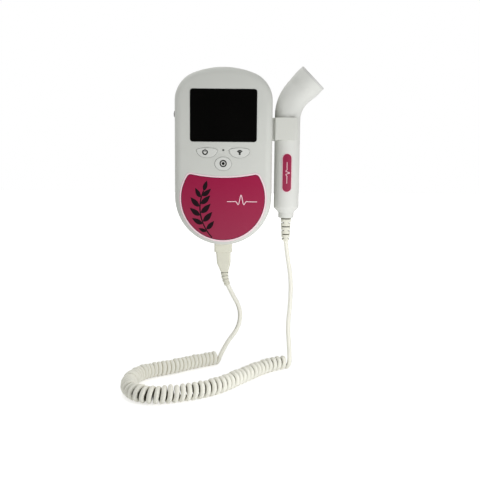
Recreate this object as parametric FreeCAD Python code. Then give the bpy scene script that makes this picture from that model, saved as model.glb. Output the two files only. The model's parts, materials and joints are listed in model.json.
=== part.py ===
import FreeCAD, Part
import math
import os
from FreeCAD import Vector

# Pocket fetal doppler monitor: a handheld display unit, a bent ultrasound probe in a side
# clip, and the curly lead between them.
# Frame: millimetres, origin at the centre of the flat back, +Y out of the back (the display
# faces -Y), +Z up, +X towards the probe.

# ---------------------------------------------------------------- case, driving dimensions
CASE_HEIGHT = 132.3
CASE_WIDTH = 73.0
CASE_DEPTH = 34.0
REAR_DEPTH = 16.0            # depth of the rear shell, back face to parting line
WALL = 2.2
CROWN_RADIUS = 62.0          # large arc over the top of the outline
SHOULDER_RADIUS = 22.0       # arcs between the crown and the straight sides
FRONT_EDGE_RADIUS = 5.5
BACK_EDGE_RADIUS = 5.0
LIP_HEIGHT = 1.6             # tongue on the rear shell that enters the front shell
LIP_THICKNESS = 1.0
SEAM_WIDTH = 0.4             # shadow groove along the parting line
SEAM_DEPTH = 0.35

# ---------------------------------------------------------------- fits
FIT = 0.15                   # gap around a piece that seats in a recess
KEY_GAP = 0.2                # gap around a keycap
SLIDE_GAP = 0.15             # gap around the battery door and its hooks
BODY_GAP = 0.3               # gap between the probe and what it is not joined to
SHAFT_GAP = 0.05             # radial running clearance of a shaft
JOIN = 0.2                   # how far a feature is sunk into the one that carries it
PAST = 1.0                   # how far a cutter runs past the face that it opens

# ---------------------------------------------------------------- front face
WINDOW_WIDTH = 49.4
WINDOW_HEIGHT = 38.4
WINDOW_DROP = 35.65          # top of the case to the centre of the window
WINDOW_THICKNESS = 1.3
WINDOW_PROUD = 0.15
WINDOW_CORNER = 2.0
WINDOW_LEDGE = 2.4
WINDOW_CHAMFER = 0.25
OVERLAY_SIDE_MARGIN = 3.9    # film to the side of the case
OVERLAY_FOOT_MARGIN = 2.85   # film to the bottom of the case
OVERLAY_HEIGHT = 49.2        # bottom of the film to the lowest point of its concave top edge
OVERLAY_TOP_RADIUS = 115.0
OVERLAY_CORNER = 4.3
OVERLAY_THICKNESS = 0.45
OVERLAY_RECESS = 0.5
SIDE_KEY_X = 12.1
SIDE_KEY_RISE = 8.1          # middle key to side keys
SIDE_KEY_HALF_WIDTH = 7.7
SIDE_KEY_CROWN = 1.9         # height of the flat upper half
SIDE_KEY_BOWL = 5.4          # height of the deep lower half
RECORD_KEY_RISE = 9.2        # top edge of the film to the middle key
RECORD_KEY_WIDTH = 12.4
RECORD_KEY_HEIGHT = 10.0
KEY_PROUD = 0.5
KEY_EDGE = 0.3               # rounding of a keycap's rim
KEY_TRAVEL = 0.8
KEY_FLANGE = 0.9             # how far a keycap's flange reaches behind the wall
KEY_FLANGE_THICKNESS = 0.8
KEY_STEM_RADIUS = 1.6
DOME_HEIGHT = 2.0
DOME_RADIUS = 3.4
DOME_TOP_RADIUS = 2.0
MEMBRANE_THICKNESS = 1.0
MEMBRANE_CORNER = 2.0
INDICATOR_RISE = 2.0         # side keys to the indicator
INDICATOR_RADIUS = 0.75
INDICATOR_PROUD = 0.1
INDICATOR_EDGE = 0.2
LAMP_SIZE = 1.8
LAMP_HEIGHT = 0.6

# ---------------------------------------------------------------- board and display
BOARD_THICKNESS = 1.6
BOARD_GAP = 0.9              # battery bay to the board
BOARD_INSET = 4.2
BOARD_FOOT = 10.7            # bottom of the case to the board's lower edge
MAIN_CHIP = (14.0, -22.5, 12.0, 1.5)       # x, z below the middle key, side, height
SOUND_CHIP = (-17.0, -21.5, 8.0, 1.2)
TALL_CAPACITOR = (-4.0, -38.5, 3.1, 7.0)   # x, z below the middle key, radius, height
SHORT_CAPACITOR = (6.0, -38.5, 2.5, 6.0)
LCD_THICKNESS = 3.6
LCD_MARGIN = 1.2             # how much smaller than the window recess the module is
LCD_LEG_RADIUS = 1.1

# ---------------------------------------------------------------- volume wheel and jack
WHEEL_RADIUS = 5.8
WHEEL_PROUD = 1.05
WHEEL_THICKNESS = 3.2
WHEEL_DROP = 34.35           # top of the case to the wheel
WHEEL_CHAMFER = 0.3
WHEEL_TEETH = 30
WHEEL_TOOTH_DEPTH = 0.35
WHEEL_SLOT_GAP = 0.4
POT_HEIGHT = 2.0
POT_RADIUS = 4.6
POT_SHAFT_RADIUS = 1.5
JACK_RISE = 10.4             # middle key to the jack
JACK_BORE_RADIUS = 1.8
JACK_BORE_LENGTH = 14.0
JACK_BODY_WIDTH = 6.6
JACK_BODY_LENGTH = 13.5
JACK_NOSE_RADIUS = 3.0

# ---------------------------------------------------------------- screws
SCREW_TOP_INSET = 6.1        # upper pair, in from the shoulder arcs
SCREW_TOP_ANGLE = 56.0       # degrees up the shoulder arcs
SCREW_BOTTOM_INSET = (9.2, 31.2)    # lower pair, in from the side and up from the bottom
SCREW_TOWER_RADIUS = 3.2
SCREW_HEAD_RADIUS = 2.3
SCREW_HEAD_HEIGHT = 1.5
SCREW_SHANK_RADIUS = 1.1
SCREW_SEAT_DEPTH = 6.0       # depth of the screw seat below the back face
SCREW_BITE = 7.0             # how far the shank enters the front tower
SCREW_HEAD_ROUNDING = 0.5
SCREW_SLOT = (2.6, 0.6, 0.7)        # length, width and depth of each bar of the cross
PILOT_SPARE = 1.0            # how much deeper a pilot hole is than its screw
TOWER_RISE = 1.4             # front tower past the back of the board
TOWER_GAP = 0.1              # front tower to rear tower
SMALL_HEAD_RADIUS = 2.0      # screws inside the case
SMALL_HEAD_HEIGHT = 1.2
BOARD_POST_INSET = 7.2       # upper board posts, in from the side
BOARD_POST_RISE = 2.9        # middle key to the upper board posts
LOWER_POST_OFFSET = 4.0      # lower board posts, out from the battery bay
LOWER_POST_DROP = 41.1       # middle key to the lower board posts
BOARD_SCREW_BITE = 5.0
POST_RADIUS = 2.6

# ---------------------------------------------------------------- battery bay and door
CELL_RADIUS = 7.1
CELL_LENGTH = 49.2
CELL_NUB_RADIUS = 2.7
CELL_NUB_HEIGHT = 1.0
CELL_EDGE = 0.6
CELL_GAP = 0.8               # between the two cells
BAY_CLEARANCE = 1.0          # room around the two cells
BAY_TOP_Z = -2.6
BAY_LENGTH = 53.0
BAY_WALL = 1.4
DOOR_WIDTH = 44.0
DOOR_TOP_Z = -1.5
DOOR_THICKNESS = 2.2
LEDGE_THICKNESS = 1.5
LEDGE_OVERHANG = 2.0         # ledge past the sides of the door
DOOR_TRAVEL = 8.0
HOOK_LENGTH = 6.0
HOOK_REACH = 1.3
HOOK_THICKNESS = 1.2
HOOK_STEM = 1.4
HOOK_OFFSETS = (-12.0, -40.0)
GRIP_GROOVES = 6
GRIP_PITCH = 1.9
GRIP_DROP = 6.0              # top of the door to the first groove
GRIP_HALF_LENGTH = 8.0
GRIP_TAPER = 0.9             # how much shorter, on each side, the next groove is
GRIP_RADIUS = 0.55
GRIP_DEPTH = 0.4
CONTACT_THICKNESS = 0.4
CONTACT_WIDTH = 9.0
LEAF_WIDTH = 5.0
LEAF_GAP = 0.1               # leaf spring to the cell at rest

# ---------------------------------------------------------------- speaker
SPEAKER_RADIUS = 14.0
SPEAKER_HEIGHT = 4.6
SPEAKER_FLANGE = 1.2
SPEAKER_BASKET = 1.8
SPEAKER_MAGNET_RADIUS = 6.3
SPEAKER_CONE_DEPTH = 0.9
SPEAKER_DROP = 36.5          # top of the case to the speaker
GRILLE_RINGS = 3
GRILLE_HOLE_RADIUS = 1.0
GRILLE_PITCH = 3.6

# ---------------------------------------------------------------- probe and its clip
PROBE_STANDOFF = 2.4         # case to handle
PROBE_TURN = -14.0           # degrees by which the head is turned towards the front
HANDLE_RADIUS = 9.7
HANDLE_TOP_Z = 30.6
HANDLE_LENGTH = 68.6
SHOULDER_HEIGHT = 4.0
BEND_RADIUS = 26.3
BEND_ANGLE = 46.5
HEAD_LENGTH = 15.2           # straight part of the head, bend to the face
HEAD_RADIUS = 11.75
FACE_RADIUS = 11.5
FACE_THICKNESS = 1.6
FACE_EDGE = 0.7
SPIGOT_LENGTH = 1.2
CRYSTAL_RADIUS = 7.2
CRYSTAL_THICKNESS = 0.8
CRYSTAL_GAP = 0.8            # between the half-moons
BACKING_RADIUS = 8.0
BACKING_THICKNESS = 5.0
STACK_GAP = 0.05             # between the layers behind the face
PROBE_BOARD_THICKNESS = 1.6
PROBE_BOARD_MARGIN = 2.0     # board to the wall of the handle
PROBE_BOARD_ENDS = 8.0       # board to either end of the handle
PROBE_WALL = 1.7
PROBE_SEAM_WIDTH = 0.25      # shadow groove between the two halves
PROBE_SEAM_DEPTH = 0.35
# Form of the bent neck and of the cup at the face: how far along, and how much the width and
# the depth have of the growth from the handle's radius to the head's.
NECK_FORM = [
    (0.0, 0.0, 0.0),
    (0.25, 0.2, -0.06),
    (0.5, 0.36, -0.14),
    (0.75, 0.5, -0.21),
    (1.0, 0.64, -0.22),
]
CUP_FORM = [
    (0.08, 0.69, -0.21),
    (0.2, 0.76, 0.04),
    (0.4, 0.91, 0.72),
    (0.6, 0.98, 0.96),
    (0.77, 0.97, 0.95),
]
SEAM_TOLERANCE = 0.005       # lofted and turned stretches count as touching within this
SHOULDER_ROUNDING = 1.7
COLLAR_RADIUS = 6.0
COLLAR_HEIGHT = 4.0
COLLAR_EDGE = 0.6
COLLAR_NECK_RADIUS = 4.2
COLLAR_FLANGE_GAP = 0.75     # floor of the shells to the flange that they trap
COLLAR_FLANGE = (1.0, 0.85)  # reach and thickness of that flange
RELIEF_LENGTH = 17.9
RELIEF_TOP_RADIUS = 4.1
RELIEF_BOTTOM_RADIUS = 3.05
RELIEF_END_EDGE = 0.6
RELIEF_CORE_RADIUS = 1.95
RELIEF_SLOTS = 6
RELIEF_FIRST_SLOT = 0.4      # collar to the first slots
RELIEF_SLOT_HEIGHT = 0.8
RELIEF_SLOT_PITCH = 3.05
RELIEF_BRIDGE = 3.2
LABEL_WIDTH = 7.6
LABEL_TOP_Z = 3.4
LABEL_BOTTOM_Z = -26.0
LABEL_TURN = -3.0            # degrees by which the label is turned from straight ahead
LABEL_THICKNESS = 0.3
CLIP_BOTTOM_Z = 13.2
CLIP_TOP_Z = 29.7
CLIP_ARM = 2.2               # thinnest part of an arm
CLIP_REACH = 6.8             # axis of the probe to the ends of the arms
CLIP_WEB_DEPTH = 18.0
CLIP_WEB_THICKNESS = 1.6
CLIP_EDGE_RADIUS = 1.6
CLIP_SCREW_OFFSET = 7.6      # screws in front of and behind the probe's axis
CLIP_SCREW_BITE = 3.0

# ---------------------------------------------------------------- plug and lead
PLUG_BLOCK_WIDTH = 13.9
PLUG_BLOCK_DEPTH = 9.6
PLUG_GAP = 0.2               # case to plug
PLUG_BLOCK_HEIGHT = 6.95
PLUG_BLOCK_EDGE = 0.7
PLUG_GRIP_WIDTH = 11.4
PLUG_GRIP_DEPTH = 8.4
PLUG_GRIP_HEIGHT = 8.9
PLUG_GRIP_TAPER = (0.8, 0.4)        # loss of width and of depth down the grip
PLUG_TIP_RADIUS = 3.0
PLUG_TIP_HEIGHT = 6.8
PLUG_LEAN = (0.4, 1.0)       # grip and tip, off the middle of the block towards the probe
PLUG_CORNER = 1.6
LARGEST_CORNER = 0.9         # of half a side of the plug
PLUG_SHELL_WALL = 0.5
PLUG_SHELL_FLOOR = 2.0
PLUG_TONGUE = (1.2, 1.0, 0.6)       # gap at the sides, thickness, gap at the end
PLUG_RELIEF_LENGTH = 10.8
PLUG_RELIEF_TURN = 26.0      # degrees by which the relief leans towards the probe
PLUG_RELIEF_CORE = (2.6, 2.1)       # core radius at the plug and at the cable
PLUG_RELIEF_RIBS = 4
PLUG_RELIEF_STEPS = 4
PLUG_RIB_WIDTH = 1.5
PLUG_RIB_FIRST = 1.6         # plug to the middle of the first rib
PLUG_RIB_LAST = 1.0          # middle of the last rib to the end
PLUG_RIB_TAPER = 0.2         # how much smaller the next rib is
SOCKET_WIDTH = 10.6
SOCKET_DEPTH = 7.0
SOCKET_HEIGHT = 7.5
SOCKET_RECESS = 1.4          # bottom of the case to the socket
SOCKET_WALL = 1.2
SOCKET_END_GAP = 1.0         # plug shell to the end of the socket
LEAD_DIAMETER = 3.4
COIL_DIAMETER = 11.5
SURFACE_Z = -162.4           # the level that the coil lies on
COIL_Z = SURFACE_Z + COIL_DIAMETER / 2
ROUTE_ROUNDING = 0.45        # of the shorter run, given to the arc at each point

# Routes, point by point: the lead hangs from the probe, lies curled on the surface in a long
# narrow loop, and rises to the plug.
LEAD_PROBE_ROUTE = [
    (48.6, -17.0, -64.2),
    (50.0, -17.0, -74.4),
    (53.5, -18.0, -94.4),
    (52.9, -22.0, -113.4),
    (50.7, -28.0, -130.4),
    (51.3, -33.5, -144.4),
    (50.9, -35.3, -154.4),
]
COIL_ROUTE = [
    (50.5, -32.0, COIL_Z),
    (38.5, -37.0, COIL_Z),
    (18.5, -60.5, COIL_Z),
    (-1.5, -88.5, COIL_Z),
    (-25.0, -101.5, COIL_Z),
    (-47.7, -106.2, COIL_Z),
    (-61.2, -95.3, COIL_Z),
    (-64.2, -76.0, COIL_Z),
    (-57.6, -58.0, COIL_Z),
    (-38.0, -47.5, COIL_Z),
    (-20.5, -33.0, COIL_Z),
    (-4.5, -24.0, COIL_Z),
]
LEAD_CASE_ROUTE = [
    (-3.6, -27.0, -155.4),
    (3.9, -24.5, -144.9),
    (12.9, -21.5, -132.9),
    (14.1, -18.5, -118.9),
    (6.7, -17.0, -106.2),
    (3.42, -17.0, -99.45),
]

# ---------------------------------------------------------------- derived values
HALF_WIDTH = CASE_WIDTH / 2
TOP_Z = CASE_HEIGHT / 2
BOTTOM_Z = -CASE_HEIGHT / 2
BOTTOM_ARC_Z = BOTTOM_Z + HALF_WIDTH
CROWN_Z = TOP_Z - CROWN_RADIUS
SHOULDER_X = HALF_WIDTH - SHOULDER_RADIUS
SHOULDER_Z = CROWN_Z + math.sqrt((CROWN_RADIUS - SHOULDER_RADIUS) ** 2 - SHOULDER_X ** 2)
FRONT_Y = -CASE_DEPTH
PARTING_Y = -REAR_DEPTH
INNER_FRONT_Y = FRONT_Y + WALL
WINDOW_CENTRE_Z = TOP_Z - WINDOW_DROP
OVERLAY_RADIUS = HALF_WIDTH - OVERLAY_SIDE_MARGIN
OVERLAY_CENTRE_Z = BOTTOM_Z + OVERLAY_FOOT_MARGIN + OVERLAY_RADIUS
OVERLAY_TOP_Z = BOTTOM_Z + OVERLAY_FOOT_MARGIN + OVERLAY_HEIGHT
RECORD_KEY_Z = OVERLAY_TOP_Z + RECORD_KEY_RISE
SIDE_KEY_HEIGHT = SIDE_KEY_CROWN + SIDE_KEY_BOWL
SIDE_KEY_Z = RECORD_KEY_Z + SIDE_KEY_RISE
INDICATOR_Z = SIDE_KEY_Z + INDICATOR_RISE
JACK_Z = RECORD_KEY_Z + JACK_RISE
WHEEL_X = -HALF_WIDTH - WHEEL_PROUD + WHEEL_RADIUS
WHEEL_Z = TOP_Z - WHEEL_DROP
SPEAKER_Z = TOP_Z - SPEAKER_DROP
CELL_PITCH = 2 * CELL_RADIUS + CELL_GAP
BAY_HALF_WIDTH = CELL_PITCH / 2 + CELL_RADIUS + BAY_CLEARANCE
BAY_BOTTOM_Z = BAY_TOP_Z - BAY_LENGTH
LEDGE_TOP_Y = -DOOR_THICKNESS - SLIDE_GAP
LEDGE_BOTTOM_Y = LEDGE_TOP_Y - LEDGE_THICKNESS
CELL_Y = LEDGE_TOP_Y - BAY_CLEARANCE / 2 - CELL_RADIUS
BAY_FLOOR_Y = CELL_Y - CELL_RADIUS - BAY_CLEARANCE / 4
BOARD_REAR_Y = BAY_FLOOR_Y - BAY_WALL - BOARD_GAP
BOARD_FRONT_Y = BOARD_REAR_Y - BOARD_THICKNESS
TOWER_END_Y = BOARD_REAR_Y + TOWER_RISE
DOME_TOP_Y = BOARD_FRONT_Y - MEMBRANE_THICKNESS - DOME_HEIGHT
SCREW_TOP_REACH = SHOULDER_RADIUS - SCREW_TOP_INSET
SCREW_TOP_LEAN = math.radians(SCREW_TOP_ANGLE)
SCREW_TOP = (
    SHOULDER_X + SCREW_TOP_REACH * math.cos(SCREW_TOP_LEAN),
    SHOULDER_Z + SCREW_TOP_REACH * math.sin(SCREW_TOP_LEAN),
)
SCREW_BOTTOM = (HALF_WIDTH - SCREW_BOTTOM_INSET[0], BOTTOM_Z + SCREW_BOTTOM_INSET[1])
SCREW_PLACES = [(side * x, z) for x, z in (SCREW_TOP, SCREW_BOTTOM) for side in (1, -1)]
UPPER_POST = (HALF_WIDTH - BOARD_POST_INSET, RECORD_KEY_Z + BOARD_POST_RISE)
LOWER_POST = (BAY_HALF_WIDTH + BAY_WALL + LOWER_POST_OFFSET, RECORD_KEY_Z - LOWER_POST_DROP)
BOARD_SCREW_PLACES = [(side * x, z) for x, z in (UPPER_POST, LOWER_POST) for side in (1, -1)]
PROBE_X = HALF_WIDTH + PROBE_STANDOFF + HANDLE_RADIUS
PROBE_Y = -CASE_DEPTH / 2
SHOULDER_TOP_Z = HANDLE_TOP_Z - HANDLE_LENGTH
SHOULDER_BOTTOM_Z = SHOULDER_TOP_Z - SHOULDER_HEIGHT
COLLAR_BOTTOM_Z = SHOULDER_BOTTOM_Z - COLLAR_HEIGHT
RELIEF_BOTTOM_Z = COLLAR_BOTTOM_Z - RELIEF_LENGTH
BEND_LENGTH = math.radians(BEND_ANGLE) * BEND_RADIUS
CLIP_BORE_RADIUS = HANDLE_RADIUS + BODY_GAP
CLIP_WEB_X = HALF_WIDTH + CLIP_WEB_THICKNESS
CLIP_END_X = PROBE_X + CLIP_REACH
PLUG_Y = PROBE_Y
PLUG_TOP_Z = BOTTOM_Z - PLUG_GAP
PLUG_BLOCK_BOTTOM_Z = PLUG_TOP_Z - PLUG_BLOCK_HEIGHT
PLUG_GRIP_BOTTOM_Z = PLUG_BLOCK_BOTTOM_Z - PLUG_GRIP_HEIGHT
PLUG_TIP_Z = PLUG_GRIP_BOTTOM_Z - PLUG_TIP_HEIGHT
SOCKET_BOTTOM_Z = BOTTOM_Z + SOCKET_RECESS
SOCKET_TOP_Z = SOCKET_BOTTOM_Z + SOCKET_HEIGHT
BIG = 400.0
TOUCH = 1e-4                 # lengths closer than this count as equal

parts = {}


# ---------------------------------------------------------------- helpers
def box(low, high):
    """Box between two opposite corners."""
    size = [high[i] - low[i] for i in range(3)]
    return Part.makeBox(size[0], size[1], size[2], Vector(*low))


def prism(wire, y_from, y_to):
    """Solid between two depths from a closed wire drawn in the XZ plane."""
    face = Part.Face(wire)
    face.translate(Vector(0, y_from, 0))
    return face.extrude(Vector(0, y_to - y_from, 0))


def cylinder_y(x, z, radius, y_from, y_to):
    """Cylinder along the depth axis."""
    return Part.makeCylinder(radius, y_to - y_from, Vector(x, y_from, z), Vector(0, 1, 0))


def cylinder_z(x, y, radius, z_from, z_to):
    """Upright cylinder."""
    return Part.makeCylinder(radius, z_to - z_from, Vector(x, y, z_from), Vector(0, 0, 1))


def arc(first, middle, last):
    """Circular arc in the XZ plane through three points."""
    points = [Vector(p[0], 0, p[1]) for p in (first, middle, last)]
    return Part.Arc(*points).toShape()


def line(first, last):
    """Straight edge in the XZ plane."""
    return Part.makeLine(Vector(first[0], 0, first[1]), Vector(last[0], 0, last[1]))


def on_circle(centre, radius, degrees):
    """Point of a circle in the XZ plane, measured from +X towards +Z."""
    angle = math.radians(degrees)
    return (centre[0] + radius * math.cos(angle), centre[1] + radius * math.sin(angle))


def edges_at_y(shape, y):
    """Edges that lie wholly in one depth plane."""
    found = []
    for edge in shape.Edges:
        limits = edge.BoundBox
        if abs(limits.YMin - y) < TOUCH and abs(limits.YMax - y) < TOUCH:
            found.append(edge)
    return found


def depth_edges(shape):
    """Straight edges that run along the depth axis."""
    found = []
    for edge in shape.Edges:
        limits = edge.BoundBox
        if limits.XLength < TOUCH and limits.ZLength < TOUCH:
            found.append(edge)
    return found


def upright_edges(shape):
    """Straight edges that run along the height axis."""
    found = []
    for edge in shape.Edges:
        limits = edge.BoundBox
        if limits.XLength < TOUCH and limits.YLength < TOUCH:
            found.append(edge)
    return found


def rounded_box(low, high, radius):
    """Box whose four edges along the depth axis are rounded."""
    solid = box(low, high)
    return solid.makeFillet(radius, depth_edges(solid))


def fused(shapes):
    """One shape made of several that touch."""
    result = shapes[0]
    if len(shapes) > 1:
        result = shapes[0].multiFuse(shapes[1:])
    return result.removeSplitter()


# ---------------------------------------------------------------- case outline and bodies
def case_outline(inset):
    """Closed outline of the case in the XZ plane, moved inwards by inset."""
    half = HALF_WIDTH - inset
    shoulder = SHOULDER_RADIUS - inset
    crown = CROWN_RADIUS - inset
    lean = math.degrees(math.atan2(SHOULDER_Z - CROWN_Z, SHOULDER_X))
    right = (SHOULDER_X, SHOULDER_Z)
    left = (-SHOULDER_X, SHOULDER_Z)
    join_right = on_circle(right, shoulder, lean)
    join_left = on_circle(left, shoulder, 180 - lean)
    edges = [
        arc((half, BOTTOM_ARC_Z), (0, BOTTOM_ARC_Z - half), (-half, BOTTOM_ARC_Z)),
        line((-half, BOTTOM_ARC_Z), (-half, SHOULDER_Z)),
        arc((-half, SHOULDER_Z), on_circle(left, shoulder, 180 - lean / 2), join_left),
        arc(join_left, (0, CROWN_Z + crown), join_right),
        arc(join_right, on_circle(right, shoulder, lean / 2), (half, SHOULDER_Z)),
        line((half, SHOULDER_Z), (half, BOTTOM_ARC_Z)),
    ]
    return Part.Wire(edges)


def case_block(inset):
    """The rounded case form, moved inwards on every side by inset."""
    block = prism(case_outline(inset), FRONT_Y + inset, -inset)
    block = block.makeFillet(FRONT_EDGE_RADIUS - inset, edges_at_y(block, FRONT_Y + inset))
    return block.makeFillet(BACK_EDGE_RADIUS - inset, edges_at_y(block, -inset))


def ring_prism(outer_inset, inner_inset, y_from, y_to):
    """Ring that follows the case outline."""
    outer = prism(case_outline(outer_inset), y_from, y_to)
    return outer.cut(prism(case_outline(inner_inset), y_from - PAST, y_to + PAST))


def half_space(front):
    """Everything in front of, or behind, the parting plane of the case."""
    if front:
        return box((-BIG, -BIG, -BIG), (BIG, PARTING_Y, BIG))
    return box((-BIG, PARTING_Y, -BIG), (BIG, BIG, BIG))


# ---------------------------------------------------------------- shared outlines
def overlay_wire(inset):
    """Outline of the front film: a disc with a concave top edge."""
    radius = OVERLAY_RADIUS - inset
    top_radius = OVERLAY_TOP_RADIUS + inset
    disc = cylinder_y(0, OVERLAY_CENTRE_Z, radius, 0, PAST)
    hollow = cylinder_y(0, OVERLAY_TOP_Z + OVERLAY_TOP_RADIUS, top_radius, -PAST, 2 * PAST)
    solid = disc.cut(hollow)
    corners = depth_edges(solid)
    corners = [edge for edge in corners if edge.BoundBox.ZMax > OVERLAY_CENTRE_Z]
    tops = [edge for edge in corners if abs(edge.BoundBox.XMin) > radius / 2]
    solid = solid.makeFillet(OVERLAY_CORNER - inset, tops)
    faces = [face for face in solid.Faces if face.BoundBox.YMax < TOUCH]
    return faces[0].OuterWire


def ellipse_arc(centre, across, tall, first, last):
    """Stretch of an ellipse in the XZ plane, between two angles in degrees."""
    ellipse = Part.Ellipse(Vector(0, 0, 0), across, tall)
    edge = ellipse.toShape(math.radians(first), math.radians(last))
    edge.rotate(Vector(0, 0, 0), Vector(1, 0, 0), 90)
    edge.translate(Vector(centre[0], 0, centre[1]))
    return edge


def side_key_wire(centre_x, grow):
    """Boat-shaped outline of the power and mode keys: a flat crown over a deep bowl."""
    half = SIDE_KEY_HALF_WIDTH + grow
    centre = (centre_x, SIDE_KEY_Z + SIDE_KEY_HEIGHT / 2 - SIDE_KEY_CROWN)
    crown = ellipse_arc(centre, half, SIDE_KEY_CROWN + grow, 0, 180)
    bowl = ellipse_arc(centre, half, SIDE_KEY_BOWL + grow, 180, 360)
    return Part.Wire([crown, bowl])


def record_key_wire(grow):
    """Oval outline of the middle key."""
    half_width = RECORD_KEY_WIDTH / 2 + grow
    half_height = RECORD_KEY_HEIGHT / 2 + grow
    return Part.Wire([ellipse_arc((0, RECORD_KEY_Z), half_width, half_height, 0, 360)])


def key_wires(grow):
    """Outlines of the three keys, by node name."""
    return {
        "power_button": side_key_wire(-SIDE_KEY_X, grow),
        "mode_button": side_key_wire(SIDE_KEY_X, grow),
        "record_button": record_key_wire(grow),
    }


KEY_CENTRES = {
    "power_button": (-SIDE_KEY_X, SIDE_KEY_Z),
    "mode_button": (SIDE_KEY_X, SIDE_KEY_Z),
    "record_button": (0.0, RECORD_KEY_Z),
}


# ---------------------------------------------------------------- shells
def screw_towers(y_from, y_to, radius):
    """Towers or holes at the four case screws."""
    return [cylinder_y(x, z, radius, y_from, y_to) for x, z in SCREW_PLACES]


def jack_cuts():
    """Round hole for the jack's nose in the left side, and room for its body."""
    start = Vector(-HALF_WIDTH - PAST, jack_y(), JACK_Z)
    hole = Part.makeCylinder(JACK_NOSE_RADIUS + FIT, WALL + 2 * PAST, start, Vector(1, 0, 0))
    return [hole, jack_body(FIT)]


def jack_body(grow):
    """Square body of the jack on the inside of the left wall."""
    half = JACK_BODY_WIDTH / 2 + grow
    near_x = -HALF_WIDTH + WALL + FIT - grow
    far_x = -HALF_WIDTH + WALL + FIT + JACK_BODY_LENGTH + grow
    return box((near_x, jack_y() - half, JACK_Z - half), (far_x, jack_y() + half, JACK_Z + half))


def jack_y():
    """Depth of the jack's axis: its body stands on the front of the board."""
    return BOARD_FRONT_Y - JACK_BODY_WIDTH / 2


def wheel_y():
    """Depth of the front side of the volume wheel."""
    return BOARD_FRONT_Y - POT_HEIGHT - FIT - WHEEL_THICKNESS


def wheel_slot():
    """Room for the volume wheel in the left side."""
    y_from = wheel_y() - WHEEL_SLOT_GAP
    y_to = wheel_y() + WHEEL_THICKNESS + WHEEL_SLOT_GAP
    return cylinder_y(WHEEL_X, WHEEL_Z, WHEEL_RADIUS + WHEEL_SLOT_GAP, y_from, y_to)


def socket_cut():
    """Opening in the bottom for the plug socket."""
    half = SOCKET_WIDTH / 2 + FIT
    depth = SOCKET_DEPTH / 2 + FIT
    return box((-half, PLUG_Y - depth, BOTTOM_Z - PAST), (half, PLUG_Y + depth, SOCKET_TOP_Z + FIT))


def holder_holes():
    """Clearance holes for the two clip screws in the right side."""
    holes = []
    for y in holder_screw_depths():
        start = Vector(HALF_WIDTH - WALL - PAST, y, holder_screw_z())
        hole = Part.makeCylinder(SCREW_SHANK_RADIUS + FIT, WALL + 2 * PAST, start, Vector(1, 0, 0))
        holes.append(hole)
    return holes


def holder_screw_depths():
    """Depths of the clip screws, where the clip's web is thick."""
    return (PROBE_Y - CLIP_SCREW_OFFSET, PROBE_Y + CLIP_SCREW_OFFSET)


def holder_screw_z():
    """Height of the clip screws."""
    return (CLIP_BOTTOM_Z + CLIP_TOP_Z) / 2


def window_block(y_from, y_to, grow):
    """Rounded rectangle of the display window."""
    half = WINDOW_WIDTH / 2 + grow
    tall = WINDOW_HEIGHT / 2 + grow
    low = (-half, y_from, WINDOW_CENTRE_Z - tall)
    high = (half, y_to, WINDOW_CENTRE_Z + tall)
    return rounded_box(low, high, WINDOW_CORNER + max(grow, -WINDOW_CORNER / 2))


def make_front_shell(hull):
    """Front half of the case."""
    shell = hull.common(half_space(True))
    rebate = ring_prism(WALL - LIP_THICKNESS - FIT, WALL + PAST, PARTING_Y - LIP_HEIGHT - FIT, PARTING_Y)
    seam = ring_prism(-PAST, SEAM_DEPTH, PARTING_Y - SEAM_WIDTH, PARTING_Y + PAST)
    shell = shell.cut([rebate, seam])
    root_y = INNER_FRONT_Y - JOIN
    towers = screw_towers(root_y, TOWER_END_Y, SCREW_TOWER_RADIUS)
    for x, z in BOARD_SCREW_PLACES:
        towers.append(cylinder_y(x, z, POST_RADIUS, root_y, BOARD_FRONT_Y))
    shell = fused([shell] + towers)
    pilot_radius = SCREW_SHANK_RADIUS + SHAFT_GAP
    cuts = screw_towers(TOWER_END_Y - SCREW_BITE - PILOT_SPARE, PARTING_Y, pilot_radius)
    for x, z in BOARD_SCREW_PLACES:
        pilot_y = BOARD_FRONT_Y - BOARD_SCREW_BITE - PILOT_SPARE
        cuts.append(cylinder_y(x, z, pilot_radius, pilot_y, BOARD_FRONT_Y + PAST))
    recess_y = FRONT_Y + WINDOW_THICKNESS - WINDOW_PROUD
    cuts.append(window_block(FRONT_Y - PAST, recess_y, FIT))
    cuts.append(window_block(FRONT_Y - PAST, INNER_FRONT_Y + PAST, -WINDOW_LEDGE))
    cuts.append(prism(overlay_wire(-FIT), FRONT_Y - PAST, FRONT_Y + OVERLAY_RECESS))
    for wire in key_wires(KEY_GAP).values():
        cuts.append(prism(wire, FRONT_Y - PAST, INNER_FRONT_Y + PAST))
    lamp_radius = INDICATOR_RADIUS + SHAFT_GAP
    cuts.append(cylinder_y(0, INDICATOR_Z, lamp_radius, FRONT_Y - PAST, INNER_FRONT_Y + PAST))
    cuts += [wheel_slot(), socket_cut()]
    cuts += jack_cuts()
    cuts += holder_holes()
    return shell.cut(cuts)


def grille_holes():
    """Round holes of the speaker grille, in rings around one centre hole."""
    holes = [cylinder_y(0, SPEAKER_Z, GRILLE_HOLE_RADIUS, -WALL - PAST, PAST)]
    for ring in range(1, GRILLE_RINGS + 1):
        count = 6 * ring
        for index in range(count):
            place = on_circle((0, SPEAKER_Z), ring * GRILLE_PITCH, 360.0 * index / count)
            holes.append(cylinder_y(place[0], place[1], GRILLE_HOLE_RADIUS, -WALL - PAST, PAST))
    return holes


def door_recess():
    """Room for the battery door in the back wall."""
    half = DOOR_WIDTH / 2 + SLIDE_GAP
    return box((-half, LEDGE_TOP_Y, BOTTOM_Z - PAST), (half, PAST, DOOR_TOP_Z + SLIDE_GAP))


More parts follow.
